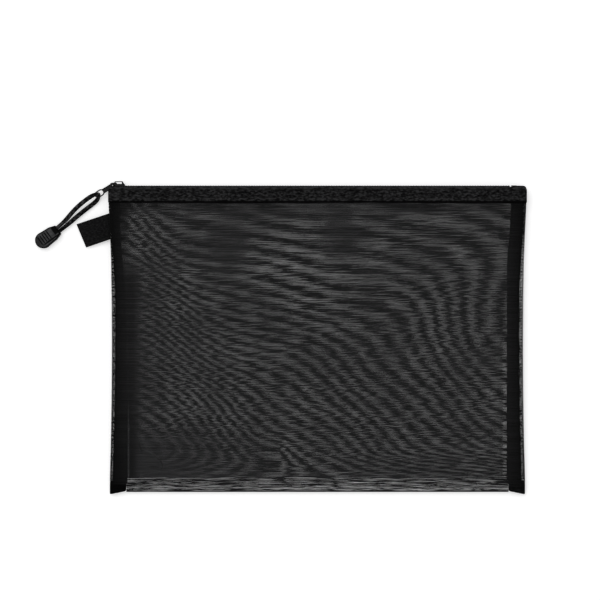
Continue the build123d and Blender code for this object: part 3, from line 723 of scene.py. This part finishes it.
def thread_tubes(paths, across, width):
    """Four-sided closed threads along paths of (thread, point, 3): a diamond, width wide along across, one
    width or one for each point, and THREAD_HEIGHT high along the normal, the tangent crossed with across."""
    tangent = unit(np.gradient(paths, axis=1))
    normal = unit(np.cross(tangent, across))
    sideways = np.cross(normal, tangent)
    wide = sideways * np.asarray(width)[..., None] / 2
    high = normal * THREAD_HEIGHT / 2
    rings = np.stack([paths + wide, paths + high, paths - wide, paths - high], 2)
    threads, points = paths.shape[:2]
    faces = repeated(strip_faces(points, 4), 4 * points, threads)
    return rings.reshape(-1, 3), faces


def edge_width(y, hand):
    """Width of the weft round an edge: the cloth is drawn together towards the top, more so on the left."""
    low = EDGE_WEFT[hand]
    return low + (EDGE_WEFT_TOP - low) * smooth_step(y, *EDGE_RUN[hand])


def weft_paths(side, rng):
    """Weft threads of one layer, with their widths: level rows a pitch apart, shifted by half of the band
    phase and a little at random, each from seam groove to seam groove. Round the edges they draw together in
    gathers. Rows that lie wholly past the cloth's top are left out."""
    rows = np.arange(CLOTH_TOP_Y + SPARE_ROWS, FOLD_Y - FOLD_ARC, -PITCH)[:, None]
    points = WEFT_STEPS + 1 + 2 * LOBE_STEPS
    wander = rng.normal(0, ROW_WANDER, rows.shape) + rng.normal(0, STEP_WANDER, (len(rows), points))
    wander = wander * (1 + FOLD_WANDER * smooth_step(rows, FOLD_Y + WANDER_RUN[0], FOLD_Y + WANDER_RUN[1]))

    def shifted(x, loose):
        """Heights of the rows at x: the rows plus half of the phase in pitches, up to the cloth's top."""
        moved = rows + loose + side * PITCH / 2 * (band_phase(x, rows) - FOLD_PHASE)
        return np.minimum(moved, CLOTH_TOP_Y)

    x = np.linspace(-1, 1, WEFT_STEPS + 1)[None] * root_x(rows)
    panel = cloth_point(x, shifted(x, wander[:, LOBE_STEPS:-LOBE_STEPS]), side, CROSSING_LIFT)
    widths = np.full(x.shape, WEFT_WIDTH)
    for hand in (-1, 1):
        y = shifted(np.full_like(rows, hand * WAIST_HALF), wander[:, -1:])
        sewn = (y > TAIL_Y) & (y < SEAM_TOP_Y)
        gathered = y + GATHER_PULL * np.sin(2 * math.pi * y / GATHER)
        turn = np.linspace(0, 1, LOBE_STEPS + 1)[None, 1:] * np.where(sewn, lobe_end(y), LOOSE_TURN)
        edge = lobe_point(turn, np.repeat(gathered, LOBE_STEPS, 1), side, CROSSING_LIFT, hand)
        edge_widths = np.repeat(edge_width(y, hand), LOBE_STEPS, 1)
        panel = np.concatenate([edge[:, ::-1], panel] if hand < 0 else [panel, edge], 1)
        widths = np.concatenate([edge_widths, widths] if hand < 0 else [widths, edge_widths], 1)
    lowest = panel[..., 1].min(1)
    in_panel = (lowest > FOLD_Y) & (lowest < CLOTH_TOP_Y - AT_TOP)
    in_fold = lowest <= FOLD_Y
    span = np.linspace(-FOLD_HALF, FOLD_HALF, points)[None] * np.ones_like(rows)
    fold = cloth_point(span, shifted(span, wander), side, CROSSING_LIFT)
    fold_widths = np.full((in_fold.sum(), points), WEFT_WIDTH)
    return np.concatenate([panel[in_panel], fold[in_fold]]), np.concatenate([widths[in_panel], fold_widths])


def warp_paths(side, rng):
    """Warp threads of one layer: lines a pitch apart down the panel and half-way round the fold, shifted by
    half of the warp phase and held inside the seams, and lines down each rounded edge."""
    count = int((WAIST_HALF + SPARE_LINES) / PITCH)
    x = (np.arange(-count, count + 1) * PITCH + rng.normal(0, WARP_WANDER, 2 * count + 1))[:, None]
    down = np.linspace(CLOTH_TOP_Y, FOLD_Y, WARP_STEPS + 1)
    round_fold = FOLD_Y - FOLD_ARC * np.arange(1, FOLD_STEPS + 1) / FOLD_STEPS
    y = np.concatenate([down, round_fold])[None]
    x = x + side * PITCH / 2 * warp_phase(x, y)
    edge = root_x(np.maximum(y, FOLD_Y))
    x = np.clip(x, -edge, edge)[(abs(x) < edge).any(1)]
    ends = np.where(abs(x[:, -1:]) < FOLD_HALF, 1.0, LOOSE_SHARE)
    y = np.where(y < FOLD_Y, FOLD_Y + ends * (y - FOLD_Y), y)
    panel = cloth_point(x, y, side, -CROSSING_LIFT)
    down = np.linspace(SEAM_TOP_Y, TAIL_Y, y.shape[1])[None]
    turn = np.arange(1, LOBE_THREADS + 1)[:, None] / LOBE_THREADS * lobe_end(down)
    y = np.repeat(down, LOBE_THREADS, 0)
    edges = [lobe_point(turn, y, side, -CROSSING_LIFT, hand) for hand in (-1, 1)]
    return np.concatenate([panel, *edges])


def make_net(name, side, replaced, seed):
    """One layer of the bag's cloth, as real threads with their own greys."""
    rng = np.random.default_rng(seed)
    weft, weft_widths = weft_paths(side, rng)
    warp = warp_paths(side, rng)
    weft_points, weft_faces = thread_tubes(weft, np.array([0.0, 1.0, 0.0]), weft_widths)
    warp_points, warp_faces = thread_tubes(warp, np.array([1.0, 0.0, 0.0]), WARP_WIDTH)
    points = np.concatenate([weft_points, warp_points])
    faces = np.concatenate([weft_faces, warp_faces + len(weft_points)])
    tones = np.concatenate([np.repeat(rng.uniform(DARKEST, 1, len(p)), 4 * p.shape[1]) for p in (weft, warp)])
    # Painted shade: the threads' greys fall to the darkest over the seams.
    seam = smooth_step(abs(points[:, 0]), SHEET_HIGH[0] + SEAM_SHADE[0], SHEET_HIGH[0] + SEAM_SHADE[1])
    mesh = make_mesh(name, points, faces, {"tone": tones * (1 - seam)})
    piece = make_piece(mesh, MESH_THREAD, replaced)
    width = 2 * float(root_x(0.0) + math.pi * lobe_radius(0.0))
    length = CLOTH_TOP_Y - FOLD_Y + FOLD_RADIUS * math.pi / 2
    length * MM


# Bindings and film

BINDING = 0.6
BINDING_WIDTH = 9.9
BINDING_HALF = 1.05                  # half thickness over both folds
BINDING_GAP = {-1: 0.4, 1: 0.9}      # left and right, from the start of the round edge up to the binding
BINDING_SPREAD = 1.8                 # how much further out their outer edges are at the band
SPREAD_RUN = (30, 80)                # heights at which they start and end to spread
BINDING_LAP = {-1: 0.3, 1: 0.8}      # how far the left and the right binding reach over the film
INNER_SPREAD = {-1: 6.0, 1: 3.0}     # how much further out their inner edges are at the band
INNER_START = {-1: 0.0, 1: 50.0}     # where they start to spread
BINDING_ROWS = 90
PLY_POINTS = 6
TURN_POINTS = 9
PLY_START = 1.0                      # fold to the first point of a ply
BOWS = ((0.12, 7.3), (0.08, 3.1))    # waves of the loose fold: height and run
BOW_WIDTH = 6.0                      # width of the binding that waves
TAIL_SLANT = 2.6         # how much higher the inner corner of a wad is than the outer one
WAD_GAP = 0.15           # end of the bottom fold to the wad
WAD_INSET = 0.4          # floor and front of the bag to the wad, and its lap over the binding
WAD_CROWN = 0.25         # power that swells a ball to the wad's block at its crown
WAD_CORNER = 0.18        # the same at its corners
WAD_FACE = 0.5           # and on its faces
WAD_CREASE = 0.05
WAD_ROWS = 17
WAD_COLUMNS = 40
FILM_ROWS = 40
FILM_COLUMNS = 24


def film_edge(y, hand):
    """Side of the film, as a distance from the wallet's middle."""
    return SHEET_HIGH[0] + INNER_SPREAD[hand] * smooth_step(y, INNER_START[hand], BAND_Y)


def binding_edges(y, hand):
    """Inner and outer edge of a binding, as distances from the wallet's middle. Both spread out to the bag's
    edge near the band."""
    inner = film_edge(y, hand) - BINDING_LAP[hand]
    outer = root_x(y) - BINDING_GAP[hand] + BINDING_SPREAD * smooth_step(y, *SPREAD_RUN)
    return inner, outer


def binding_section(y, hand):
    """Tape folded over the seam allowances: two plies that end at the seam and a round fold inside. The
    section is a ring of (ply length, height) corners, rounded at the fold by half a turn."""
    inner, outer = binding_edges(y, hand)
    turn = np.linspace(math.pi / 2, 3 * math.pi / 2, TURN_POINTS)
    back = turn[::-1]
    core = BINDING_HALF - BINDING
    ply = np.linspace(BINDING_WIDTH, BINDING_HALF + PLY_START, PLY_POINTS)
    fold = BINDING_HALF + BINDING_HALF * np.cos(turn)
    inner_fold = BINDING_HALF + core * np.cos(back)
    ring_x = np.concatenate([ply, fold, ply[::-1], ply, inner_fold, ply[::-1]])
    flat = np.full(PLY_POINTS, 1.0)
    outside = [flat * BINDING_HALF, BINDING_HALF * np.sin(turn), -flat * BINDING_HALF]
    inside = [-flat * core, core * np.sin(back), flat * core]
    ring_z = np.concatenate(outside + inside)
    x = hand * (inner[:, None] + ring_x[None] * ((outer - inner) / BINDING_WIDTH)[:, None])
    bow = waves(y, (*BOWS[0], hand), (*BOWS[1], 2 * hand))
    z = middle_z(y)[:, None] + ring_z[None] + bow[:, None] * (ring_x[None] < BOW_WIDTH)
    return np.stack([x, np.repeat(y[:, None], len(ring_x), 1), z], -1)


def tail_wad(hand):
    """Wad of folded tape at the bottom corner: a ball swollen to a rounded block by small powers of its sines
    and cosines, creased, with a lower edge that falls by TAIL_SLANT towards the outer side."""
    low = np.array([FOLD_HALF + WAD_GAP, TAIL_LOW_Y, WAD_INSET])
    high = np.array([half_width(FOLD_Y), TAIL_Y + WAD_INSET, 2 * FOLD_RADIUS - WAD_INSET])
    polar = np.linspace(-math.pi / 2, math.pi / 2, WAD_ROWS)[:, None]
    turn = np.linspace(0, 2 * math.pi, WAD_COLUMNS, endpoint=False)[None]

    def swollen(value, power):
        """A power of the value's size, with the value's sign."""
        return np.sign(value) * np.abs(value) ** power

    ring = swollen(np.cos(polar), WAD_CROWN)
    x = ring * swollen(np.cos(turn), WAD_CORNER)
    y = ring * swollen(np.sin(turn), WAD_CORNER)
    z = swollen(np.sin(polar), WAD_FACE) * np.ones_like(turn)
    crease = WAD_CREASE * np.sin(9 * y + 3 * x) * (1 - z ** 4)
    points = np.stack([x, y, z + crease], -1) * (high - low) / 2 + (low + high) / 2
    points[..., 1] += TAIL_SLANT * (1 - x) / 2 * (1 - y) / 2
    points[..., 0] *= hand
    return points.reshape(-1, 3), grid_faces(WAD_ROWS, WAD_COLUMNS, close_columns=True)


def make_binding(name, hand, replaced):
    """Binding of one side seam, with its wad: the folded section carried along Y."""
    y = np.linspace(TAIL_Y - WAD_TUCK, BAND_Y, BINDING_ROWS)
    rings = binding_section(y, hand)
    tape_points = rings.reshape(-1, 3)
    wad_points, wad_faces = tail_wad(hand)
    tape = outward(tape_points, strip_faces(BINDING_ROWS, rings.shape[1]))
    wad = outward(wad_points, wad_faces) + len(tape_points)
    points = np.concatenate([tape_points, wad_points])
    mesh = make_mesh(name, points, np.concatenate([tape, wad]), merge=True)
    make_piece(mesh, BINDING_TAPE, replaced)


def make_film():
    """Film sheet: a thin ring across the width, from the left edge to the right on its upper face and back on
    its lower one, carried along Y."""
    y = np.linspace(SHEET_LOW[1], SHEET_HIGH[1], FILM_ROWS)[:, None]
    share = np.linspace(0, 1, FILM_COLUMNS)
    across = np.concatenate([share, share[::-1]])[None]
    x = film_edge(y, 1) * across - film_edge(y, -1) * (1 - across)
    z = np.repeat([SHEET_HIGH[2], SHEET_LOW[2]], FILM_COLUMNS)[None]
    rings = np.stack(np.broadcast_arrays(x, y, z), -1)
    mesh = make_mesh("divider_film", rings, strip_faces(FILM_ROWS, 2 * FILM_COLUMNS))
    mesh.shade_flat()
    make_piece(mesh, SMOKED_FILM, ["divider_sheet"])


# Zip tapes and stitches

TAPE_CORNER = 3.0        # rounding of the band's upper corners
LIP_SLOT = 6.0           # gap between the two lips, which the coil fills
LIP_BEND = 0.9           # radius of the bend from band to lip
LIP_START = (2.0, 0.6)   # where the band gives way to the bend, below the lip
HEM_DROP = 0.5           # tape below the band, which painted shadow makes near black
END_RISE = 0.9           # the right end of the band reaches up to the coil's top
END_RUN = (11.0, 7.0)    # where that starts and is full, from the band's end
SELVEDGE = (40, 0.03)    # power that thins the tape at its edges, and what is left there, squared
CROWDING = 1.12          # power that sets the columns closer at the ends
BAND_WAVES = ((0.0025, 3.7, 1.0), (0.0025, 1.9, 0.0))  # waves of the sewn band: height, run and start
RAGS = ((0.12, 5.1, 0.0), (0.18, 31.0, 0.6))  # the same for its lower edge
RAG_HEIGHT = 3.0         # height at which these have died out
TAPE_COLUMNS = 260
BAND_POINTS = 18
BEND_POINTS = 6
LIP_POINTS = 3

STITCH_PITCH = 4.2
STITCH_LENGTH = 3.0
STITCH_WIDTH = 0.55
STITCH_HEIGHT = 0.25
STITCH_SINK = 0.06       # how far a stitch lies in the tape
STITCH_WANDER = 0.05     # spread about its row
STITCH_SEED = 11
STITCH_SIDES = 6
STITCH_ALONG = np.array([0.0, 0.07, 0.25, 0.5, 0.75, 0.93, 1.0])  # shares of the length
STITCH_SWELL = np.array([0.0, 0.65, 1.0, 1.0, 1.0, 0.65, 0.0])    # shares of the thickness there
STITCH_ROWS = (LIP_Y - 2.15, BAND_Y + 3.55)
ROW_PRESS = 0.10         # how deep the rows press the tape
ROW_HALF = 0.45          # half width of that groove
SEAM_ROW = 2.4           # row in a binding, from its inner edge


def tape_line(side):
    """Middle line of a tape's section from the selvedge to the lip's edge, as (y, z) points: straight band,
    quarter bend and lip."""
    face_z = FRONT_TAPE_Z - TAPE / 2 if side > 0 else BACK_TAPE_Z + TAPE / 2
    lip_y = LIP_Y - TAPE / 2
    turn = np.linspace(0, math.pi / 2, BEND_POINTS)
    bend_y = lip_y - LIP_BEND + LIP_BEND * np.sin(turn)
    bend_z = face_z - side * (LIP_BEND - LIP_BEND * np.cos(turn))
    band_y = np.linspace(BAND_Y - HEM_DROP, bend_y[0], BAND_POINTS + 1)[:-1]
    lip_z = np.linspace(bend_z[-1], ZIP_Z + side * LIP_SLOT / 2, LIP_POINTS + 1)[1:]
    y = np.concatenate([band_y, bend_y, np.full(LIP_POINTS, lip_y)])
    z = np.concatenate([np.full(BAND_POINTS, face_z), bend_z, lip_z])
    return np.stack([y, z], -1)


def make_tape(name, side, replaced):
    """Zip tape: its section is carried along X, drawn in at the rounded corners, pressed down along the two
    stitch rows, given the small waves of a sewn band and left a little ragged at its lower edge."""
    line = tape_line(side)
    tangent = np.gradient(line, axis=0)
    normal = unit(np.stack([-tangent[:, 1], tangent[:, 0]], -1))
    thin = thinned(np.linspace(-1, 1, len(line)), *SELVEDGE)[:, None]
    section = np.concatenate([line + normal * TAPE / 2 * thin, (line - normal * TAPE / 2 * thin)[::-1]])
    section_y = section[None, :, 0]
    half = TAPE_HIGH[0]
    spread = np.linspace(-1, 1, TAPE_COLUMNS)
    x = half * np.sign(spread) * (1 - (1 - np.abs(spread)) ** CROWDING)
    past = np.clip(np.abs(x) - (half - TAPE_CORNER), 0, TAPE_CORNER)
    top = LIP_Y - TAPE_CORNER + np.sqrt(TAPE_CORNER ** 2 - past ** 2)
    top = top + END_RISE * smooth_step(x, half - END_RUN[0], half - END_RUN[1])
    y = BAND_Y + (section_y - BAND_Y) * ((top - BAND_Y) / (LIP_Y - BAND_Y))[:, None]
    on_band = 1 - smooth_step(section_y, LIP_Y - LIP_START[0], LIP_Y - LIP_START[1])
    pressed = sum(np.exp(-((y - row) / ROW_HALF) ** 2) for row in STITCH_ROWS)
    z = section[None, :, 1] - side * on_band * (ROW_PRESS * pressed + waves(x, *BAND_WAVES)[:, None])
    low_edge = 1 - smooth_step(section_y, BAND_Y, BAND_Y + RAG_HEIGHT)
    y = y + low_edge * waves(x, *RAGS)[:, None]
    points = np.stack([x[:, None] * np.ones_like(y), y, z], -1)
    mesh = make_mesh(name, points, strip_faces(TAPE_COLUMNS, len(section)))
    make_piece(mesh, ZIP_TAPE, replaced)


def stitch_points():
    """One stitch along +X from 0 to its length: an oval tube that swells from both tips and bows up by the
    sine of its length. Returned with x along, y across and z up."""
    share = STITCH_ALONG[:, None]
    swell = STITCH_SWELL[:, None]
    turn = np.linspace(0, 2 * math.pi, STITCH_SIDES, endpoint=False)[None]
    x = share * STITCH_LENGTH * np.ones_like(turn)
    y = swell * STITCH_WIDTH / 2 * np.cos(turn)
    z = swell * STITCH_HEIGHT / 2 * np.sin(turn) + STITCH_HEIGHT / 2 * np.sin(math.pi * share)
    return np.stack([x, y, z], -1).reshape(-1, 3)


def stitch_starts(low, high):
    """Starts of the stitches in a row from low to high."""
    count = round((high - low - STITCH_LENGTH) / STITCH_PITCH) + 1
    return low + STITCH_PITCH * np.arange(count)


def sew(node, places, stitch):
    """Copies of a stitch at the given places, for one node of stitches."""
    points = places[:, None] + stitch[None]
    faces = grid_faces(len(STITCH_ALONG), STITCH_SIDES, close_columns=True)
    mesh = make_mesh(node + "_thread", points, repeated(faces, len(stitch), len(places)), merge=True)
    make_piece(mesh, SEWING_THREAD, [node])


def make_zip_stitching(node, side):
    """Two rows of stitches along X on one tape, each a little off its row."""
    low, high = node_box(node)
    x = stitch_starts(low[0], high[0])
    base = FRONT_TAPE_Z - STITCH_SINK if side > 0 else BACK_TAPE_Z + STITCH_SINK
    rng = np.random.default_rng(STITCH_SEED + side)
    y = np.concatenate([row + rng.normal(0, STITCH_WANDER, len(x)) for row in STITCH_ROWS])
    x = np.tile(x, len(STITCH_ROWS))
    sew(node, np.stack([x, y, np.full(len(x), base)], -1), stitch_points() * np.array([1, 1, side]))


def make_side_stitching(node, hand):
    """One row of stitches along Y through a binding."""
    low, high = node_box(node)
    y = stitch_starts(low[1], high[1])
    middle = y + STITCH_LENGTH / 2
    x = hand * (binding_edges(middle, hand)[0] + SEAM_ROW)
    z = middle_z(middle) + BINDING_HALF - STITCH_SINK
    sew(node, np.stack([x, y, z], -1), stitch_points()[:, [1, 0, 2]])


# Zip coil

COIL_PITCH = 2.0
COIL_WIRE = 0.48         # radius of the coil's wire
COIL_STEPS = 12          # straight runs in one turn
COIL_SIDES = 5


def make_coil(name, side, replaced):
    """Half of the coil: a flat helix about a line beside the zip's middle. x grows by a pitch a turn, y
    follows the root of the sine of the turn and z its cosine, which reaches past the middle to the other
    half's gaps, half a pitch on."""
    low, high = node_box(replaced)
    turns = (high[0] - low[0] - 2 * COIL_WIRE) / COIL_PITCH - 0.5
    steps = int(turns * COIL_STEPS)
    turn = np.arange(steps + 1) * 2 * math.pi / COIL_STEPS
    start = low[0] + COIL_WIRE + (COIL_PITCH / 2 if side < 0 else 0.0)
    middle = (low + high) / 2
    half = (high - low) / 2 - COIL_WIRE
    x = start + COIL_PITCH * turn / (2 * math.pi)
    y = middle[1] + half[1] * np.sign(np.sin(turn)) * np.sqrt(np.abs(np.sin(turn)))
    z = middle[2] - side * half[2] * np.cos(turn)
    radius = np.full((steps + 1, 1), COIL_WIRE)
    radius[[0, -1]] = 0.0
    around = np.linspace(0, 2 * math.pi, COIL_SIDES, endpoint=False)
    points = tube_points(np.stack([x, y, z], -1), np.array([1.0, 0.0, 0.0]), radius, around)
    mesh = make_mesh(name, points, grid_faces(steps + 1, COIL_SIDES, close_columns=True), merge=True)
    piece = make_piece(mesh, COIL_NYLON, [replaced])
    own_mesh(piece)


# Pull cord

CORD_DIAMETER = 3.0
CORD_SIDES = 18
CORD_ACROSS = np.array([0.77, -0.63, 0.0])  # square to most of the cord
CORD_SWELL = 0.15        # the braid swells between the eye and the grip, which pinch it
EYE_PINCH = (4, 9)       # cord from the eye at which the swelling starts and is full
GRIP_PINCH = (12, 20)    # the same from the cord's ends
BRAID_LOW = 0.97         # radius between the crossings of the yarns, as a share
BRAID_RISE = 0.10        # how much more it is at them
CORD_BEND = 2.9          # half the height of the turn through the eye
STRAND_SPACING = 3.05
STRAND_SEAT = 8.0        # cord ends inside the grip
ROUTE_STEPS = 24         # points of the line for each control point


def strand_end(side, distance):
    """Point of one strand in the grip: distance along the grip and half the spacing to one side."""
    along = np.array([math.cos(GRIP_ANGLE), math.sin(GRIP_ANGLE), 0.0])
    across = np.array([along[1], -along[0], 0.0])
    return EYE + GRIP_AWAY + distance * along + side * STRAND_SPACING / 2 * across


CORD_ROUTE = np.array([
    strand_end(1, STRAND_SEAT),
    strand_end(1, -5.5),
    EYE + (-17.9, -10.9, 0.35),
    EYE + (-4.9, -1.0, 2.65),
    EYE + (0.0, 0.0, CORD_BEND),
    EYE - (0.0, 0.0, CORD_BEND),
    EYE + (-0.7, -4.6, -3.05),
    EYE + (-12.8, -13.5, -2.95),
    strand_end(-1, -3.5),
    strand_end(-1, STRAND_SEAT),
])


def smooth_route(route):
    """Points along a NURBS spline that has the route as its control points, in millimetres."""
    curve = bpy.data.curves.new("cord_route", "CURVE")
    curve.dimensions = "3D"
    curve.resolution_u = ROUTE_STEPS
    spline = curve.splines.new("NURBS")
    spline.points.add(len(route) - 1)
    spline.points.foreach_set("co", np.column_stack([route * MM, np.ones(len(route))]).ravel())
    spline.order_u = 3
    spline.use_endpoint_u = True
    carrier = bpy.data.objects.new("cord_route", curve)
    line = bpy.data.meshes.new_from_object(carrier)
    path = np.zeros(3 * len(line.vertices))
    line.vertices.foreach_get("co", path)
    bpy.data.objects.remove(carrier)
    bpy.data.meshes.remove(line)
    bpy.data.curves.remove(curve)
    return path.reshape(-1, 3) / MM


def make_cord():
    """Braided cord: a tube along the route whose radius rises where the two sets of yarns cross, by the
    product of the sines of the length plus and minus the turn, and swells where nothing pinches it."""
    path = smooth_route(CORD_ROUTE)
    run = np.concatenate([[0.0], np.cumsum(np.linalg.norm(np.diff(path, axis=0), axis=1))])
    turn = np.linspace(0, 2 * math.pi, CORD_SIDES + 1)
    lay = run[:, None] * 2 * math.pi / BRAID_LAY
    braid = np.abs(np.sin(lay + BRAID_YARNS * turn[None]) * np.sin(lay - BRAID_YARNS * turn[None]))
    from_eye = np.abs(run - run[-1] / 2)
    loose = smooth_step(from_eye, *EYE_PINCH) * smooth_step(run[-1] / 2 - from_eye, *GRIP_PINCH)
    radius = CORD_DIAMETER / 2 * (BRAID_LOW + BRAID_RISE * braid) * (1 + CORD_SWELL * loose[:, None])
    radius[[0, -1]] = 0.0
    points = tube_points(path, CORD_ACROSS, radius, turn)
    uv = np.stack(np.broadcast_arrays(run[:, None], turn[None]), -1)
    faces = grid_faces(len(path), CORD_SIDES + 1)
    mesh = make_mesh("pull_cord_braid", points, faces, uv=uv, merge=True)
    piece = make_piece(mesh, BRAIDED_CORD, ["pull_cord"], "puller")
    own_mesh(piece)


# Hang tab

TAB_WIDTH = 19.6
TAB_REACH = 23.8         # seam to the end of the fold
TAB_TAPE = 0.5           # thickness of the tape
TAB_LOOP = 1.3           # outer radius of the fold
TAB_PINCH = 5.0          # run from the seam in which the plies lie together
TAB_GAP = 0.02           # half of the gap between them
TAB_ANGLE = math.radians(198.3)
TAB_DROOP = math.radians(4.0)
TAB_SKEW = math.radians(4.0)  # slant of the fold across the tape
TAB_TUCK = 0.5           # how far it starts inside the seam
TAB_SELVEDGE = (30, 0.1)  # as for the zip tapes
TAB_WAVE = (0.25, 6.0, 0.5)   # wave across the tape: height, run and start
TAB_WAVE_START = 4.0     # where it starts, from the seam
TAB_ROWS = 24
TAB_POINTS = 22          # along each ply
TAB_TURN_POINTS = 13     # round the fold, with the ends of the plies


def tab_line(thickness, fold):
    """Line of the tab's loop at a height off its middle, as lengths and heights: upper ply out, fold and
    lower ply back. The plies part by a smooth step and meet in half a circle."""
    share = np.linspace(0, 1, TAB_POINTS)
    turn = np.linspace(math.pi / 2, -math.pi / 2, TAB_TURN_POINTS)[1:-1]
    lift = TAB_GAP + (TAB_LOOP - TAB_TAPE) * smooth_step(share * fold, TAB_PINCH, fold) + thickness
    radius = TAB_LOOP - TAB_TAPE + thickness
    run = np.concatenate([share * fold, fold + radius * np.cos(turn), share[::-1] * fold])
    return run, np.concatenate([lift, radius * np.sin(turn), -lift[::-1]])


def make_tab():
    """Tape loop in the left seam: the ring between the outer and the inner line of the loop, carried across
    the tape's width and skewed to the seam at one end and along the fold at the other."""
    hinge = joint_place("tab_fold")
    level = np.array([math.cos(TAB_ANGLE), math.sin(TAB_ANGLE), 0.0])
    along = level * math.cos(TAB_DROOP) - np.array([0.0, 0.0, math.sin(TAB_DROOP)])
    across = np.array([level[1], -level[0], 0.0])
    up = np.cross(across, along)
    up = up * np.sign(up[2])
    fold = TAB_REACH - TAB_LOOP
    outer_run, outer_height = tab_line(TAB_TAPE, fold)
    inner_run, inner_height = tab_line(0.0, fold)
    run = np.concatenate([outer_run, inner_run[::-1]])[None]
    height = np.concatenate([outer_height, inner_height[::-1]])[None]
    place = TAB_WIDTH / 2 * np.sin(np.linspace(-math.pi / 2, math.pi / 2, TAB_ROWS))[:, None]
    seam_skew = -place * math.tan(TAB_ANGLE - math.pi) - TAB_TUCK
    fold_skew = place * math.tan(TAB_SKEW)
    thin = thinned(place / (TAB_WIDTH / 2), *TAB_SELVEDGE)
    to_seam = np.clip(1 - run / fold, 0, 1)
    run = run + seam_skew * to_seam + fold_skew * (1 - to_seam)
    height = height * thin + waves(place, TAB_WAVE) * smooth_step(run, TAB_WAVE_START, fold)
    points = hinge + run[..., None] * along + place[..., None] * across + height[..., None] * up
    mesh = make_mesh("hang_tab_loop", points, strip_faces(TAB_ROWS, run.shape[1]))
    piece = make_piece(mesh, WEBBING, ["hang_tab"], body=None)
    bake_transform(piece)


# Studio

WHITE = (1.0, 1.0, 1.0, 1.0)
CAMERA_LENS = 100.0
CAMERA_SENSOR = 36.0
VIEW_WIDTH = 466.8       # millimetres across the picture
VIEW_MIDDLE = (-13.6, 29.8)
VIEW_HEIGHT = 7.0        # height at which the view's width holds
FLOOR_GREY = (0.95, 0.95, 0.95, 1.0)
FLOOR_GLOW = 0.42        # what lifts the lit floor to the background's white
FLOOR_HALF = 4000.0
FLOOR_Z = -0.05
SKY_LIGHT = 0.52         # strength of the world as a light
SOFTBOX_PLACE = (-0.5, 0.7, 1.6)  # metres
SOFTBOX_SIZE = 1.2
SOFTBOX_POWER = 9.0


def make_camera():
    """Camera straight above the wallet, at the distance that gives the view its width."""
    lens = bpy.data.cameras.new("camera")
    lens.lens = CAMERA_LENS
    lens.sensor_width = CAMERA_SENSOR
    camera = add_to_scene("camera", lens)
    distance = VIEW_WIDTH * CAMERA_LENS / CAMERA_SENSOR + VIEW_HEIGHT
    camera.location = (VIEW_MIDDLE[0] * MM, VIEW_MIDDLE[1] * MM, distance * MM)
    bpy.context.scene.camera = camera


def make_floor():
    """White floor, which shows as the background's white and keeps the wallet's shadow."""
    finish = Finish("floor_white", base_color=FLOOR_GREY, roughness=0.9)
    glow = finish.node("ShaderNodeEmission", inputs={"Color": WHITE, "Strength": finish.seen() * FLOOR_GLOW})
    both = finish.node("ShaderNodeAddShader", inputs={0: Value(finish, finish.shader.outputs[0]), 1: glow})
    finish.connect(finish.tree.nodes["Material Output"].inputs["Surface"], both)
    corners = np.array([[-1, -1], [1, -1], [1, 1], [-1, 1]]) * FLOOR_HALF
    points = np.column_stack([corners, np.full(4, FLOOR_Z)]) * MM
    mesh = bpy.data.meshes.new("floor")
    mesh.from_pydata(points.tolist(), [], [(0, 1, 2, 3)])
    mesh.materials.append(finish.material)
    add_to_scene("floor", mesh)


def make_lights():
    """Plain white world, and a large soft lamp above the upper left that points at the wallet."""
    world = bpy.data.worlds.new("studio")
    bpy.context.scene.world = world
    world.use_nodes = True
    sky = Nodes(world.node_tree)
    background = world.node_tree.nodes["Background"].inputs
    sky.connect(background["Color"], WHITE)
    sky.connect(background["Strength"], sky.seen() * (1 - SKY_LIGHT) + SKY_LIGHT)
    lamp = bpy.data.lights.new("softbox", "AREA")
    lamp.shape = "SQUARE"
    lamp.size = SOFTBOX_SIZE
    lamp.energy = SOFTBOX_POWER
    softbox = add_to_scene("softbox", lamp)
    softbox.location = SOFTBOX_PLACE
    softbox.rotation_euler = (-softbox.location).to_track_quat("-Z", "Y").to_euler()


# The dressed wallet

MESH_THREAD = mesh_thread_finish()
BINDING_TAPE = woven_finish("binding_grosgrain", rib=0.9, speck=0.8, low=0.001, high=0.014, paler=wad_shade)
ZIP_TAPE = woven_finish("zip_tape_weave", rib=0.8, speck=1.7, low=0.001, high=0.034, paler=band_lines)
WEBBING = woven_finish("tab_webbing", rib=0.7, speck=1.2, low=0.004, high=0.016)
COIL_NYLON = coil_finish()
SEWING_THREAD = sewing_thread_finish()
LACQUER = lacquer_finish()
SMOKED_FILM = film_finish()
BRAIDED_CORD = cord_finish()
GRIP_PLASTIC = grip_finish()

bpy.context.scene.view_settings.view_transform = "Standard"
make_camera()
make_floor()
make_lights()
make_cord()
make_net("mesh_front_net", 1, ["mesh_front"], seed=5)
make_net("mesh_back_net", -1, ["mesh_back", "mesh_bottom_fold", "mesh_edge_left", "mesh_edge_right"], seed=6)
make_binding("binding_left_tape", -1, ["binding_left"])
make_binding("binding_right_tape", 1, ["binding_right"])
make_tape("zip_tape_front_band", 1, ["zip_tape_front"])
make_tape("zip_tape_back_band", -1, ["zip_tape_back"])
make_coil("zip_coil_front_helix", 1, "zip_coil_front")
make_coil("zip_coil_back_helix", -1, "zip_coil_back")
make_zip_stitching("zip_stitching_front", 1)
make_zip_stitching("zip_stitching_back", -1)
make_side_stitching("side_stitching_left", -1)
make_side_stitching("side_stitching_right", 1)
make_tab()
make_film()

for node, finish in {
    "slider_body": LACQUER, "pull_link": LACQUER, "zip_top_stops": LACQUER, "zip_bottom_stop": LACQUER,
    "cord_grip": GRIP_PLASTIC, "cord_knot": BRAIDED_CORD,
}.items():
    packed = frame["nodes"][node]
    packed.data.materials.clear()
    packed.data.materials.append(finish)
